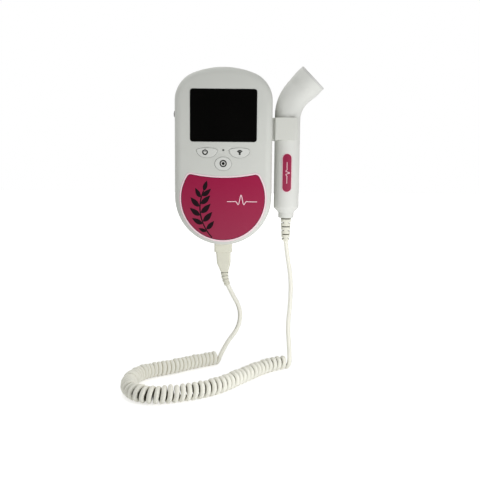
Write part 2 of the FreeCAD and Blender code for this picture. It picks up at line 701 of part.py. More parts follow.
def battery_bay():
    """Walls of the battery bay and the ledge that the door slides on."""
    half = BAY_HALF_WIDTH + BAY_WALL
    well = box(
        (-half, BAY_FLOOR_Y - BAY_WALL, BAY_BOTTOM_Z - BAY_WALL),
        (half, LEDGE_TOP_Y, BAY_TOP_Z + BAY_WALL),
    )
    edge = DOOR_WIDTH / 2 + LEDGE_OVERHANG
    ledge = box((-edge, LEDGE_BOTTOM_Y, BOTTOM_Z), (edge, -WALL / 2, DOOR_TOP_Z + LEDGE_OVERHANG))
    inside = case_block(WALL / 2)
    return [well.common(inside), ledge.common(inside)]


def hook_cuts():
    """Notches that the door's hooks enter, and the undercuts that they slide in."""
    cuts = []
    low_y = LEDGE_BOTTOM_Y - HOOK_THICKNESS - 2 * SLIDE_GAP
    for side in (-1, 1):
        near = side * (BAY_HALF_WIDTH - JOIN)
        far = side * (BAY_HALF_WIDTH + HOOK_REACH + SLIDE_GAP)
        x_from, x_to = sorted((near, far))
        for offset in HOOK_OFFSETS:
            top = offset + HOOK_LENGTH / 2 + SLIDE_GAP
            bottom = offset - HOOK_LENGTH / 2 - DOOR_TRAVEL - SLIDE_GAP
            cuts.append(box((x_from, low_y, bottom), (x_to, LEDGE_BOTTOM_Y, top)))
            notch_top = bottom + HOOK_LENGTH + 2 * SLIDE_GAP
            cuts.append(box((x_from, low_y, bottom), (x_to, LEDGE_TOP_Y + PAST, notch_top)))
    return cuts


def make_rear_shell(hull):
    """Rear half of the case."""
    shell = hull.common(half_space(False))
    tongue = ring_prism(WALL - LIP_THICKNESS, WALL, PARTING_Y - LIP_HEIGHT, PARTING_Y + PAST)
    towers = screw_towers(TOWER_END_Y + TOWER_GAP, -WALL / 2, SCREW_TOWER_RADIUS)
    shell = fused([shell, tongue] + towers + battery_bay())
    cuts = [door_recess(), socket_cut()]
    bay_low = (-BAY_HALF_WIDTH, BAY_FLOOR_Y, BAY_BOTTOM_Z)
    cuts.append(box(bay_low, (BAY_HALF_WIDTH, LEDGE_TOP_Y + PAST, BAY_TOP_Z)))
    cuts += hook_cuts()
    cuts += screw_towers(-SCREW_SEAT_DEPTH, PAST, SCREW_HEAD_RADIUS + FIT)
    cuts += screw_towers(TOWER_END_Y, PAST, SCREW_SHANK_RADIUS + FIT)
    cuts += grille_holes()
    cuts += holder_holes()
    return shell.cut(cuts)


def make_battery_door(block):
    """Door that carries the case's back curve over the battery bay."""
    half = DOOR_WIDTH / 2
    door = block.common(box((-half, -DOOR_THICKNESS, BOTTOM_Z - PAST), (half, PAST, DOOR_TOP_Z)))
    pieces = [door]
    for side in (-1, 1):
        outer = side * (BAY_HALF_WIDTH - SLIDE_GAP)
        inner = side * (BAY_HALF_WIDTH - SLIDE_GAP - HOOK_STEM)
        tip = side * (BAY_HALF_WIDTH + HOOK_REACH)
        stem_from, stem_to = sorted((inner, outer))
        foot_from, foot_to = sorted((inner, tip))
        foot_top = LEDGE_BOTTOM_Y - SLIDE_GAP
        for offset in HOOK_OFFSETS:
            low = offset - HOOK_LENGTH / 2
            high = offset + HOOK_LENGTH / 2
            pieces.append(box((stem_from, foot_top - JOIN, low), (stem_to, JOIN - DOOR_THICKNESS, high)))
            pieces.append(box((foot_from, foot_top - HOOK_THICKNESS, low), (foot_to, foot_top, high)))
    door = fused(pieces)
    grooves = []
    for index in range(GRIP_GROOVES):
        wide = GRIP_HALF_LENGTH - index * GRIP_TAPER
        start = Vector(-wide, GRIP_RADIUS - GRIP_DEPTH, DOOR_TOP_Z - GRIP_DROP - index * GRIP_PITCH)
        grooves.append(Part.makeCylinder(GRIP_RADIUS, 2 * wide, start, Vector(1, 0, 0)))
    return door.cut(grooves)


# ---------------------------------------------------------------- front pieces
def make_display_window():
    """Flat lens over the display."""
    y_from = FRONT_Y - WINDOW_PROUD
    window = window_block(y_from, y_from + WINDOW_THICKNESS, 0)
    rim = edges_at_y(window, y_from)
    return window.makeChamfer(WINDOW_CHAMFER, rim)


def make_overlay():
    """Printed film in its recess."""
    y_to = FRONT_Y + OVERLAY_RECESS
    return prism(overlay_wire(0), y_to - OVERLAY_THICKNESS, y_to)


def make_key(name):
    """Keycap with a flange behind the wall and a stem towards its dome."""
    centre_x, centre_z = KEY_CENTRES[name]
    front = FRONT_Y - KEY_PROUD
    flange_y = INNER_FRONT_Y + FIT
    cap = prism(key_wires(0)[name], front, flange_y + JOIN)
    cap = cap.makeFillet(KEY_EDGE, edges_at_y(cap, front))
    flange = prism(key_wires(KEY_FLANGE)[name], flange_y, flange_y + KEY_FLANGE_THICKNESS)
    stem = cylinder_y(centre_x, centre_z, KEY_STEM_RADIUS, flange_y, DOME_TOP_Y - KEY_TRAVEL - FIT)
    return fused([cap, flange, stem])


def make_membrane():
    """Silicone sheet with one dome for each key."""
    low_z = RECORD_KEY_Z - RECORD_KEY_HEIGHT / 2
    high_z = SIDE_KEY_Z + SIDE_KEY_HEIGHT / 2
    half = SIDE_KEY_X + SIDE_KEY_HALF_WIDTH
    base_y = BOARD_FRONT_Y - MEMBRANE_THICKNESS
    sheet = rounded_box((-half, base_y, low_z), (half, BOARD_FRONT_Y, high_z), MEMBRANE_CORNER)
    pieces = [sheet]
    for x, z in KEY_CENTRES.values():
        foot = Vector(x, base_y, z)
        pieces.append(Part.makeCone(DOME_RADIUS, DOME_TOP_RADIUS, DOME_HEIGHT, foot, Vector(0, -1, 0)))
    lamp_hole = cylinder_y(0, INDICATOR_Z, LAMP_SIZE, base_y - PAST, BOARD_FRONT_Y + PAST)
    return fused(pieces).cut(lamp_hole)


def make_light_pipe():
    """Clear rod from the board's indicator to the front."""
    front = FRONT_Y - INDICATOR_PROUD
    rod = cylinder_y(0, INDICATOR_Z, INDICATOR_RADIUS, front, BOARD_FRONT_Y - LAMP_HEIGHT - FIT)
    return rod.makeFillet(INDICATOR_EDGE, edges_at_y(rod, front))


# ---------------------------------------------------------------- board, display, sound
def make_chip(chip):
    """Square chip on the front of the board."""
    x, drop, side, height = chip
    z = RECORD_KEY_Z + drop
    half = side / 2
    return box((x - half, BOARD_FRONT_Y - height, z - half), (x + half, BOARD_FRONT_Y + JOIN, z + half))


def make_capacitor(capacitor):
    """Round capacitor on the front of the board."""
    x, drop, radius, height = capacitor
    return cylinder_y(x, RECORD_KEY_Z + drop, radius, BOARD_FRONT_Y - height, BOARD_FRONT_Y + JOIN)


def make_main_board():
    """Circuit board that follows the case outline."""
    board = prism(case_outline(BOARD_INSET), BOARD_FRONT_Y, BOARD_REAR_Y)
    board = board.common(box((-BIG, -BIG, BOTTOM_Z + BOARD_FOOT), (BIG, BIG, BIG)))
    cuts = screw_towers(BOARD_FRONT_Y - PAST, BOARD_REAR_Y + PAST, SCREW_TOWER_RADIUS + FIT)
    for x, z in BOARD_SCREW_PLACES:
        hole_radius = SCREW_SHANK_RADIUS + FIT
        cuts.append(cylinder_y(x, z, hole_radius, BOARD_FRONT_Y - PAST, BOARD_REAR_Y + PAST))
    board = board.cut(cuts)
    lamp = (0.0, INDICATOR_Z - RECORD_KEY_Z, LAMP_SIZE, LAMP_HEIGHT)
    pieces = [board]
    pieces += [make_chip(chip) for chip in (MAIN_CHIP, SOUND_CHIP, lamp)]
    pieces += [make_capacitor(one) for one in (TALL_CAPACITOR, SHORT_CAPACITOR)]
    return fused(pieces)


def make_lcd_module():
    """Display module on four legs."""
    half = WINDOW_WIDTH / 2 - LCD_MARGIN
    tall = WINDOW_HEIGHT / 2 - LCD_MARGIN
    front = INNER_FRONT_Y + FIT
    back = front + LCD_THICKNESS
    panel = box((-half, front, WINDOW_CENTRE_Z - tall), (half, back, WINDOW_CENTRE_Z + tall))
    pieces = [panel]
    for side in (-1, 1):
        for level in (-1, 1):
            x = side * (half - 2 * LCD_LEG_RADIUS)
            z = WINDOW_CENTRE_Z + level * (tall - 2 * LCD_LEG_RADIUS)
            pieces.append(cylinder_y(x, z, LCD_LEG_RADIUS, back - JOIN, BOARD_FRONT_Y))
    return fused(pieces)


def make_speaker():
    """Small round speaker behind the grille."""
    rim = -WALL - FIT
    seat = rim - SPEAKER_FLANGE
    back = rim - SPEAKER_HEIGHT
    forward = Vector(0, -1, 0)
    basket_radius = SPEAKER_RADIUS - SPEAKER_FLANGE
    flange = cylinder_y(0, SPEAKER_Z, SPEAKER_RADIUS, seat, rim)
    basket = Part.makeCone(
        basket_radius, SPEAKER_MAGNET_RADIUS, SPEAKER_BASKET, Vector(0, seat, SPEAKER_Z), forward
    )
    magnet = cylinder_y(0, SPEAKER_Z, SPEAKER_MAGNET_RADIUS, back, seat - SPEAKER_BASKET + JOIN)
    cone = Part.makeCone(
        basket_radius, SPEAKER_MAGNET_RADIUS, SPEAKER_CONE_DEPTH, Vector(0, rim, SPEAKER_Z), forward
    )
    return fused([flange, basket, magnet]).cut(cone)


def make_volume_pot():
    """Potentiometer on the board with the shaft that carries the wheel."""
    body = cylinder_y(WHEEL_X, WHEEL_Z, POT_RADIUS, BOARD_FRONT_Y - POT_HEIGHT, BOARD_FRONT_Y)
    body = body.common(box((-HALF_WIDTH + WALL + FIT, -BIG, -BIG), (BIG, BIG, BIG)))
    shaft_end = BOARD_FRONT_Y - POT_HEIGHT + JOIN
    shaft = cylinder_y(WHEEL_X, WHEEL_Z, POT_SHAFT_RADIUS, wheel_y() - FIT, shaft_end)
    return fused([body, shaft])


def make_volume_wheel():
    """Knurled thumbwheel."""
    y_from = wheel_y()
    y_to = y_from + WHEEL_THICKNESS
    wheel = cylinder_y(WHEEL_X, WHEEL_Z, WHEEL_RADIUS, y_from, y_to)
    wheel = wheel.makeChamfer(WHEEL_CHAMFER, edges_at_y(wheel, y_from) + edges_at_y(wheel, y_to))
    cuts = [cylinder_y(WHEEL_X, WHEEL_Z, POT_SHAFT_RADIUS + SHAFT_GAP, y_from - PAST, y_to + PAST)]
    groove_radius = math.pi * WHEEL_RADIUS / WHEEL_TEETH / 2
    reach = WHEEL_RADIUS + groove_radius - WHEEL_TOOTH_DEPTH
    for index in range(WHEEL_TEETH):
        place = on_circle((WHEEL_X, WHEEL_Z), reach, 360.0 * index / WHEEL_TEETH)
        cuts.append(cylinder_y(place[0], place[1], groove_radius, y_from - PAST, y_to + PAST))
    return wheel.cut(cuts)


def make_headphone_jack():
    """Jack socket with its nose in the left side of the case."""
    y = jack_y()
    inward = Vector(1, 0, 0)
    mouth = Vector(-HALF_WIDTH, y, JACK_Z)
    nose = Part.makeCylinder(JACK_NOSE_RADIUS, WALL + FIT + JOIN, mouth, inward)
    bore = Part.makeCylinder(JACK_BORE_RADIUS, JACK_BORE_LENGTH, mouth, inward)
    return fused([jack_body(0), nose]).cut(bore)


def make_probe_socket():
    """Socket that the plug enters from below."""
    half = SOCKET_WIDTH / 2
    depth = SOCKET_DEPTH / 2
    block = box((-half, PLUG_Y - depth, SOCKET_BOTTOM_Z), (half, PLUG_Y + depth, SOCKET_TOP_Z))
    inner = half - SOCKET_WALL
    inner_depth = depth - SOCKET_WALL
    cavity = box(
        (-inner, PLUG_Y - inner_depth, SOCKET_BOTTOM_Z - PAST),
        (inner, PLUG_Y + inner_depth, SOCKET_TOP_Z - SOCKET_WALL),
    )
    return block.cut(cavity)


# ---------------------------------------------------------------- batteries
def make_cell(side):
    """One cell; the two lie head to tail."""
    x = side * CELL_PITCH / 2
    end_gap = 2 * CONTACT_THICKNESS + CELL_NUB_HEIGHT
    if side < 0:
        start = BAY_TOP_Z - end_gap - CELL_LENGTH
        nub_from = start + CELL_LENGTH - JOIN
    else:
        start = BAY_BOTTOM_Z + end_gap
        nub_from = start - CELL_NUB_HEIGHT
    body = cylinder_z(x, CELL_Y, CELL_RADIUS, start, start + CELL_LENGTH)
    body = body.makeFillet(CELL_EDGE, body.Edges)
    nub = cylinder_z(x, CELL_Y, CELL_NUB_RADIUS, nub_from, nub_from + CELL_NUB_HEIGHT + JOIN)
    return fused([body, nub])


def contact_plate(x_from, x_to, z_wall, direction):
    """Flat sheet on an end wall of the bay."""
    z_from, z_to = sorted((z_wall, z_wall + direction * CONTACT_THICKNESS))
    half = CONTACT_WIDTH / 2
    return box((x_from, CELL_Y - half, z_from), (x_to, CELL_Y + half, z_to))


def contact_leaf(x, z_wall, direction):
    """Bowed leaf spring that presses on the flat end of a cell."""
    rise = BAY_LENGTH - CELL_LENGTH - CELL_NUB_HEIGHT - 2 * CONTACT_THICKNESS - LEAF_GAP
    half = CONTACT_WIDTH / 2 - JOIN
    radius = (half * half + rise * rise) / (2 * rise)
    centre = Vector(x - LEAF_WIDTH / 2, CELL_Y, z_wall + direction * (rise - radius))
    outer = Part.makeCylinder(radius, LEAF_WIDTH, centre, Vector(1, 0, 0))
    inner = Part.makeCylinder(radius - CONTACT_THICKNESS, LEAF_WIDTH, centre, Vector(1, 0, 0))
    z_from, z_to = sorted((z_wall + direction * CONTACT_THICKNESS / 2, z_wall + direction * 2 * rise))
    window = box((x - LEAF_WIDTH, CELL_Y - half, z_from), (x + LEAF_WIDTH, CELL_Y + half, z_to))
    return outer.cut(inner).common(window)


def make_battery_contacts():
    """Two separate contacts at the top and the bridge at the bottom."""
    half = CONTACT_WIDTH / 2
    x = CELL_PITCH / 2
    plus = contact_plate(-x - half, -x + half, BAY_TOP_Z, -1)
    minus = fused([contact_plate(x - half, x + half, BAY_TOP_Z, -1), contact_leaf(x, BAY_TOP_Z, -1)])
    bridge = fused(
        [contact_plate(-x - half, x + half, BAY_BOTTOM_Z, 1), contact_leaf(-x, BAY_BOTTOM_Z, 1)]
    )
    return Part.makeCompound([plus, minus, bridge])


# ---------------------------------------------------------------- screws
def case_screw(x, z):
    """Pan-head screw from the back, with a cross slot."""
    seat = -SCREW_SEAT_DEPTH
    top = seat + SCREW_HEAD_HEIGHT
    head = cylinder_y(x, z, SCREW_HEAD_RADIUS, seat, top)
    head = head.makeFillet(SCREW_HEAD_ROUNDING, edges_at_y(head, top))
    shank = cylinder_y(x, z, SCREW_SHANK_RADIUS, TOWER_END_Y - SCREW_BITE, seat + JOIN)
    screw = fused([head, shank])
    slot_length, slot_width, slot_depth = SCREW_SLOT
    slots = []
    for across, tall in ((slot_length, slot_width), (slot_width, slot_length)):
        low = (x - across / 2, top - slot_depth, z - tall / 2)
        slots.append(box(low, (x + across / 2, top + PAST, z + tall / 2)))
    return screw.cut(slots)


def small_screw(seat, direction, reach):
    """Screw inside the case: head on its seat, shank along direction."""
    head = Part.makeCylinder(SMALL_HEAD_RADIUS, SMALL_HEAD_HEIGHT, seat, direction * -1)
    shank = Part.makeCylinder(SCREW_SHANK_RADIUS, reach + JOIN, seat - direction * JOIN, direction)
    return fused([head, shank])


def make_holder_screws():
    """Two screws from inside the case into the clip."""
    seats = [Vector(HALF_WIDTH - WALL, y, holder_screw_z()) for y in holder_screw_depths()]
    return Part.makeCompound([small_screw(seat, Vector(1, 0, 0), WALL + CLIP_SCREW_BITE) for seat in seats])


def make_board_screws():
    """Screws that hold the board to posts of the front shell."""
    seats = [Vector(x, BOARD_REAR_Y, z) for x, z in BOARD_SCREW_PLACES]
    reach = BOARD_THICKNESS + BOARD_SCREW_BITE
    return Part.makeCompound([small_screw(seat, Vector(0, -1, 0), reach) for seat in seats])


# ---------------------------------------------------------------- probe holder
def make_probe_holder():
    """Open clip whose two arms hold the probe's handle."""
    half = CLIP_BORE_RADIUS + CLIP_ARM
    block = box((CLIP_WEB_X, PROBE_Y - half, CLIP_BOTTOM_Z), (CLIP_END_X, PROBE_Y + half, CLIP_TOP_Z))
    block = block.makeFillet(CLIP_EDGE_RADIUS, upright_edges(block))
    web = box(
        (HALF_WIDTH, PROBE_Y - CLIP_WEB_DEPTH / 2, CLIP_BOTTOM_Z),
        (CLIP_WEB_X + CLIP_EDGE_RADIUS, PROBE_Y + CLIP_WEB_DEPTH / 2, CLIP_TOP_Z),
    )
    clip = fused([block, web])
    bore = cylinder_z(PROBE_X, PROBE_Y, CLIP_BORE_RADIUS, CLIP_BOTTOM_Z - PAST, CLIP_TOP_Z + PAST)
    mouth = box(
        (PROBE_X, PROBE_Y - CLIP_BORE_RADIUS, CLIP_BOTTOM_Z - PAST),
        (CLIP_END_X + PAST, PROBE_Y + CLIP_BORE_RADIUS, CLIP_TOP_Z + PAST),
    )
    cuts = [bore, mouth]
    for y in holder_screw_depths():
        start = Vector(HALF_WIDTH - PAST, y, holder_screw_z())
        depth = CLIP_SCREW_BITE + JOIN + PAST
        cuts.append(Part.makeCylinder(SCREW_SHANK_RADIUS + SHAFT_GAP, depth, start, Vector(1, 0, 0)))
    return clip.cut(cuts)


# ---------------------------------------------------------------- probe
def head_station(distance):
    """Point and heading of the probe's axis, past the start of the bend."""
    turned = min(distance, BEND_LENGTH) / BEND_RADIUS
    x = PROBE_X + BEND_RADIUS * (1 - math.cos(turned))
    z = HANDLE_TOP_Z + BEND_RADIUS * math.sin(turned)
    straight = max(0.0, distance - BEND_LENGTH)
    heading = Vector(math.sin(turned), 0, math.cos(turned))
    return Vector(x, PROBE_Y, z) + heading * straight, heading


def half_oval(across, deep, side, clear):
    """Half of an oval in the XY plane, front or rear, that stops clear of the middle."""
    start = math.asin(clear / deep)
    first = Vector(math.cos(start), side * math.sin(start), 0)
    last = Vector(-first.x, first.y, 0)
    half = Part.Arc(first, Vector(0, side, 0), last).toShape()
    matrix = FreeCAD.Matrix()
    matrix.scale(across, deep, 1.0)
    return half.transformGeometry(matrix)


def head_section(distance, across, deep, side, seam):
    """Half of the head's wall, cut square to the probe's axis, with its side of the seam groove."""
    place, heading = head_station(distance)
    inner = across - PROBE_WALL
    outer_edge = half_oval(across, deep, side, seam)
    inner_edge = half_oval(inner, deep - PROBE_WALL, side, 0)
    edges = [outer_edge]
    corners = [outer_edge.Vertexes[-1].Point]
    if seam:
        floor = across - PROBE_SEAM_DEPTH
        corners += [Vector(-floor, side * seam, 0), Vector(-floor, 0, 0)]
    corners.append(Vector(-inner, 0, 0))
    edges += [Part.makeLine(a, b) for a, b in zip(corners, corners[1:])]
    edges.append(inner_edge)
    mirrored = [Vector(-corner.x, corner.y, 0) for corner in reversed(corners)]
    edges += [Part.makeLine(a, b) for a, b in zip(mirrored, mirrored[1:])]
    section = Part.Wire(edges)
    section.rotate(Vector(0, 0, 0), Vector(0, 1, 0), math.degrees(math.atan2(heading.x, heading.z)))
    section.translate(place)
    return section


def head_halves(side, seam):
    """Half shells of the bent neck, which is flat from front to back, and of the cup at the face."""
    growth = HEAD_RADIUS - HANDLE_RADIUS

    def section(distance, across, deep):
        width = HANDLE_RADIUS + growth * across
        depth = HANDLE_RADIUS + growth * deep
        return head_section(distance, width, depth, side, seam)

    neck = [section(BEND_LENGTH * share, across, deep) for share, across, deep in NECK_FORM]
    cup = [neck[-1]]
    for share, across, deep in CUP_FORM:
        cup.append(section(BEND_LENGTH + HEAD_LENGTH * share, across, deep))
    end = BEND_LENGTH + HEAD_LENGTH - FACE_THICKNESS
    cup.append(head_section(end, FACE_RADIUS, FACE_RADIUS, side, seam))
    return [Part.makeLoft(sections, True, False) for sections in (neck, cup)]


def handle_seam():
    """Groove down both sides of the straight handle, in front of the parting plane."""
    low = SHOULDER_BOTTOM_Z - PAST
    reach = HANDLE_RADIUS + PAST
    slab = box((PROBE_X - reach, PROBE_Y - PROBE_SEAM_WIDTH, low), (PROBE_X + reach, PROBE_Y, HANDLE_TOP_Z))
    return slab.cut(handle_form(PROBE_SEAM_DEPTH))


def about_handle(shape, degrees):
    """The shape, turned about the handle's axis."""
    turned = shape.copy()
    turned.rotate(Vector(PROBE_X, PROBE_Y, 0), Vector(0, 0, 1), degrees)
    return turned


def handle_form(shrink):
    """Straight handle with its shoulder, or its cavity when shrunk by the wall."""
    radius = HANDLE_RADIUS - shrink
    foot_z = SHOULDER_BOTTOM_Z + shrink
    profile = Part.makePolygon([
        Vector(0, 0, foot_z),
        Vector(COLLAR_RADIUS - shrink, 0, foot_z),
        Vector(radius, 0, SHOULDER_TOP_Z),
        Vector(radius, 0, HANDLE_TOP_Z),
        Vector(0, 0, HANDLE_TOP_Z),
        Vector(0, 0, foot_z),
    ])
    handle = Part.Face(profile).revolve(Vector(0, 0, 0), Vector(0, 0, 1), 360)
    corners = []
    for edge in handle.Edges:
        limits = edge.BoundBox
        if limits.ZLength < TOUCH and abs(limits.ZMax - SHOULDER_TOP_Z) < TOUCH:
            corners.append(edge)
    handle = handle.makeFillet(SHOULDER_ROUNDING, corners)
    handle.translate(Vector(PROBE_X, PROBE_Y, 0))
    return handle


def make_probe_shells():
    """Front and rear halves of the handset, each from its straight and its bent stretch."""
    handle = handle_form(0).cut(handle_form(PROBE_WALL))
    neck = cylinder_z(PROBE_X, PROBE_Y, COLLAR_NECK_RADIUS + FIT, SHOULDER_BOTTOM_Z - PAST, SHOULDER_TOP_Z)
    handle = handle.cut(neck)
    front = handle.common(box((-BIG, -BIG, -BIG), (BIG, PROBE_Y, BIG)))
    rear = handle.common(box((-BIG, PROBE_Y, -BIG), (BIG, BIG, BIG)))
    front = front.cut(handle_seam())
    front = front.multiFuse(head_halves(-1, PROBE_SEAM_WIDTH), SEAM_TOLERANCE)
    rear = rear.multiFuse(head_halves(1, 0), SEAM_TOLERANCE)
    return front, rear


def head_disc(radius, depth_from, depth_to):
    """Disc on the head's axis, measured back from the face."""
    place, heading = head_station(BEND_LENGTH + HEAD_LENGTH - depth_to)
    return Part.makeCylinder(radius, depth_to - depth_from, place, heading)


def make_transducer_face():
    """Face disc with a rounded rim and a spigot inside the shells."""
    disc = head_disc(FACE_RADIUS, 0, FACE_THICKNESS)
    far = head_station(BEND_LENGTH + HEAD_LENGTH)[0]
    rims = []
    for edge in disc.Edges:
        if (edge.BoundBox.Center - far).Length < FACE_EDGE and edge.Length > FACE_RADIUS:
            rims.append(edge)
    disc = disc.makeFillet(FACE_EDGE, rims)
    spigot_radius = FACE_RADIUS - PROBE_WALL - FIT
    spigot = head_disc(spigot_radius, FACE_THICKNESS - JOIN, FACE_THICKNESS + SPIGOT_LENGTH)
    return fused([disc, spigot])


def make_crystals():
    """Two half-moon crystals, one that sends and one that listens."""
    depth = FACE_THICKNESS + SPIGOT_LENGTH + STACK_GAP
    disc = head_disc(CRYSTAL_RADIUS, depth, depth + CRYSTAL_THICKNESS)
    half_gap = CRYSTAL_GAP / 2
    front = box((-BIG, -BIG, -BIG), (BIG, PROBE_Y - half_gap, BIG))
    rear = box((-BIG, PROBE_Y + half_gap, -BIG), (BIG, BIG, BIG))
    return Part.makeCompound([disc.common(front), disc.common(rear)])


def make_backing():
    """Damping block behind the crystals."""
    depth = FACE_THICKNESS + SPIGOT_LENGTH + CRYSTAL_THICKNESS + 2 * STACK_GAP
    return head_disc(BACKING_RADIUS, depth, depth + BACKING_THICKNESS)


def make_probe_board():
    """Narrow circuit board inside the handle."""
    half = HANDLE_RADIUS - PROBE_WALL - PROBE_BOARD_MARGIN
    thick = PROBE_BOARD_THICKNESS / 2
    low = (PROBE_X - half, PROBE_Y - thick, SHOULDER_TOP_Z + PROBE_BOARD_ENDS)
    high = (PROBE_X + half, PROBE_Y + thick, HANDLE_TOP_Z - PROBE_BOARD_ENDS)
    return box(low, high)


def make_probe_label():
    """Curved strip with round ends on the front of the handle."""
    half = LABEL_WIDTH / 2
    front = PROBE_Y - HANDLE_RADIUS - PAST
    top = LABEL_TOP_Z - half
    bottom = LABEL_BOTTOM_Z + half
    stamp = fused([
        cylinder_y(PROBE_X, top, half, front, PROBE_Y),
        cylinder_y(PROBE_X, bottom, half, front, PROBE_Y),
        box((PROBE_X - half, front, bottom), (PROBE_X + half, PROBE_Y, top)),
    ])
    low = LABEL_BOTTOM_Z - PAST
    high = LABEL_TOP_Z + PAST
    sleeve = cylinder_z(PROBE_X, PROBE_Y, HANDLE_RADIUS + LABEL_THICKNESS, low, high)
    core = cylinder_z(PROBE_X, PROBE_Y, HANDLE_RADIUS, low - PAST, high + PAST)
    return stamp.common(sleeve).cut(core)


def make_probe_collar():
    """Collar with a neck and an inner flange that the two shells trap."""
    outer = cylinder_z(PROBE_X, PROBE_Y, COLLAR_RADIUS, COLLAR_BOTTOM_Z, SHOULDER_BOTTOM_Z)
    rims = [edge for edge in outer.Edges if abs(edge.BoundBox.ZMax - COLLAR_BOTTOM_Z) < TOUCH]
    outer = outer.makeFillet(COLLAR_EDGE, rims)
    flange_reach, flange_thickness = COLLAR_FLANGE
    flange_z = SHOULDER_BOTTOM_Z + PROBE_WALL + COLLAR_FLANGE_GAP
    flange_top = flange_z + flange_thickness
    neck = cylinder_z(PROBE_X, PROBE_Y, COLLAR_NECK_RADIUS, SHOULDER_BOTTOM_Z - JOIN, flange_top)
    flange = cylinder_z(PROBE_X, PROBE_Y, COLLAR_NECK_RADIUS + flange_reach, flange_z, flange_top)
    return fused([outer, neck, flange])


def make_probe_relief():
    """Slotted, tapered strain relief: each row of slots is turned a quarter from the last."""
    foot = Vector(PROBE_X, PROBE_Y, RELIEF_BOTTOM_Z)
    up = Vector(0, 0, 1)
    relief = Part.makeCone(RELIEF_BOTTOM_RADIUS, RELIEF_TOP_RADIUS, RELIEF_LENGTH, foot, up)
    rims = [edge for edge in relief.Edges if abs(edge.BoundBox.ZMax - RELIEF_BOTTOM_Z) < TOUCH]
    relief = relief.makeFillet(RELIEF_END_EDGE, rims)
    core = cylinder_z(PROBE_X, PROBE_Y, RELIEF_CORE_RADIUS, RELIEF_BOTTOM_Z - PAST, COLLAR_BOTTOM_Z + PAST)
    half = RELIEF_BRIDGE / 2
    reach = RELIEF_TOP_RADIUS + PAST
    cuts = []
    for index in range(RELIEF_SLOTS):
        top = COLLAR_BOTTOM_Z - RELIEF_FIRST_SLOT - index * RELIEF_SLOT_PITCH
        low = top - RELIEF_SLOT_HEIGHT
        for side in (-1, 1):
            near, far = sorted((side * half, side * reach))
            if index % 2 == 0:
                slot = box((PROBE_X - reach, PROBE_Y + near, low), (PROBE_X + reach, PROBE_Y + far, top))
            else:
                slot = box((PROBE_X + near, PROBE_Y - reach, low), (PROBE_X + far, PROBE_Y + reach, top))
            cuts.append(slot.cut(core))
    return relief.cut(cuts)


# ---------------------------------------------------------------- plug
def plug_section(width, depth, x, z):
    """Rounded rectangle across the plug, about a point of its middle line."""
    half_w = width / 2
    half_d = depth / 2
    blank = box((x - half_w, PLUG_Y - half_d, z - PAST), (x + half_w, PLUG_Y + half_d, z))
    corner = min(PLUG_CORNER, half_d * LARGEST_CORNER)
    blank = blank.makeFillet(corner, upright_edges(blank))
    tops = [face for face in blank.Faces if face.BoundBox.ZMin > z - TOUCH]
    return tops[0].OuterWire


def make_plug_body():
    """Moulded plug: a block, a grip and a taper to the cable."""
    block = Part.Face(plug_section(PLUG_BLOCK_WIDTH, PLUG_BLOCK_DEPTH, 0, PLUG_TOP_Z))
    block = block.extrude(Vector(0, 0, -PLUG_BLOCK_HEIGHT))
    rims = [edge for edge in block.Edges if abs(edge.BoundBox.ZMax - PLUG_BLOCK_BOTTOM_Z) < TOUCH]
    block = block.makeFillet(PLUG_BLOCK_EDGE, rims)
    low_width = PLUG_GRIP_WIDTH - PLUG_GRIP_TAPER[0]
    low_depth = PLUG_GRIP_DEPTH - PLUG_GRIP_TAPER[1]
    grip_x, tip_x = PLUG_LEAN
    top = plug_section(PLUG_GRIP_WIDTH, PLUG_GRIP_DEPTH, 0, PLUG_BLOCK_BOTTOM_Z + JOIN)
    waist = plug_section(low_width, low_depth, grip_x, PLUG_GRIP_BOTTOM_Z)
    end = plug_section(2 * PLUG_TIP_RADIUS, 2 * PLUG_TIP_RADIUS, tip_x, PLUG_TIP_Z)
    grip = Part.makeLoft([top, waist], True, True)
    tip = Part.makeLoft([waist, end], True, True)
    return fused([block, grip, tip])


def make_plug_contacts():
    """Metal shell of the plug inside the socket, with its tongue."""
    half = SOCKET_WIDTH / 2 - SOCKET_WALL - FIT
    depth = SOCKET_DEPTH / 2 - SOCKET_WALL - FIT
    top = SOCKET_TOP_Z - SOCKET_WALL - SOCKET_END_GAP
    sleeve = box((-half, PLUG_Y - depth, PLUG_TOP_Z), (half, PLUG_Y + depth, top))
    inner = half - PLUG_SHELL_WALL
    inner_depth = depth - PLUG_SHELL_WALL
    hollow = box(
        (-inner, PLUG_Y - inner_depth, PLUG_TOP_Z + PLUG_SHELL_FLOOR),
        (inner, PLUG_Y + inner_depth, top + PAST),
    )
    side_gap, thickness, end_gap = PLUG_TONGUE
    tongue = box(
        (-half + side_gap, PLUG_Y - thickness / 2, PLUG_TOP_Z),
        (half - side_gap, PLUG_Y + thickness / 2, top - end_gap),
    )
    return fused([sleeve.cut(hollow), tongue])


def relief_station(distance):
    """Point and heading on the leaning arc of the plug's relief, going down."""
    radius = PLUG_RELIEF_LENGTH / math.radians(PLUG_RELIEF_TURN)
    turned = distance / radius
    x = PLUG_LEAN[1] + radius * (1 - math.cos(turned))
    z = PLUG_TIP_Z - radius * math.sin(turned)
    return Vector(x, PLUG_Y, z), Vector(math.sin(turned), 0, -math.cos(turned))


def relief_slice(distance, radius, thickness):
    """Short cylinder across the relief's arc."""
    place, heading = relief_station(distance)
    return Part.makeCylinder(radius, thickness, place - heading * (thickness / 2), heading)


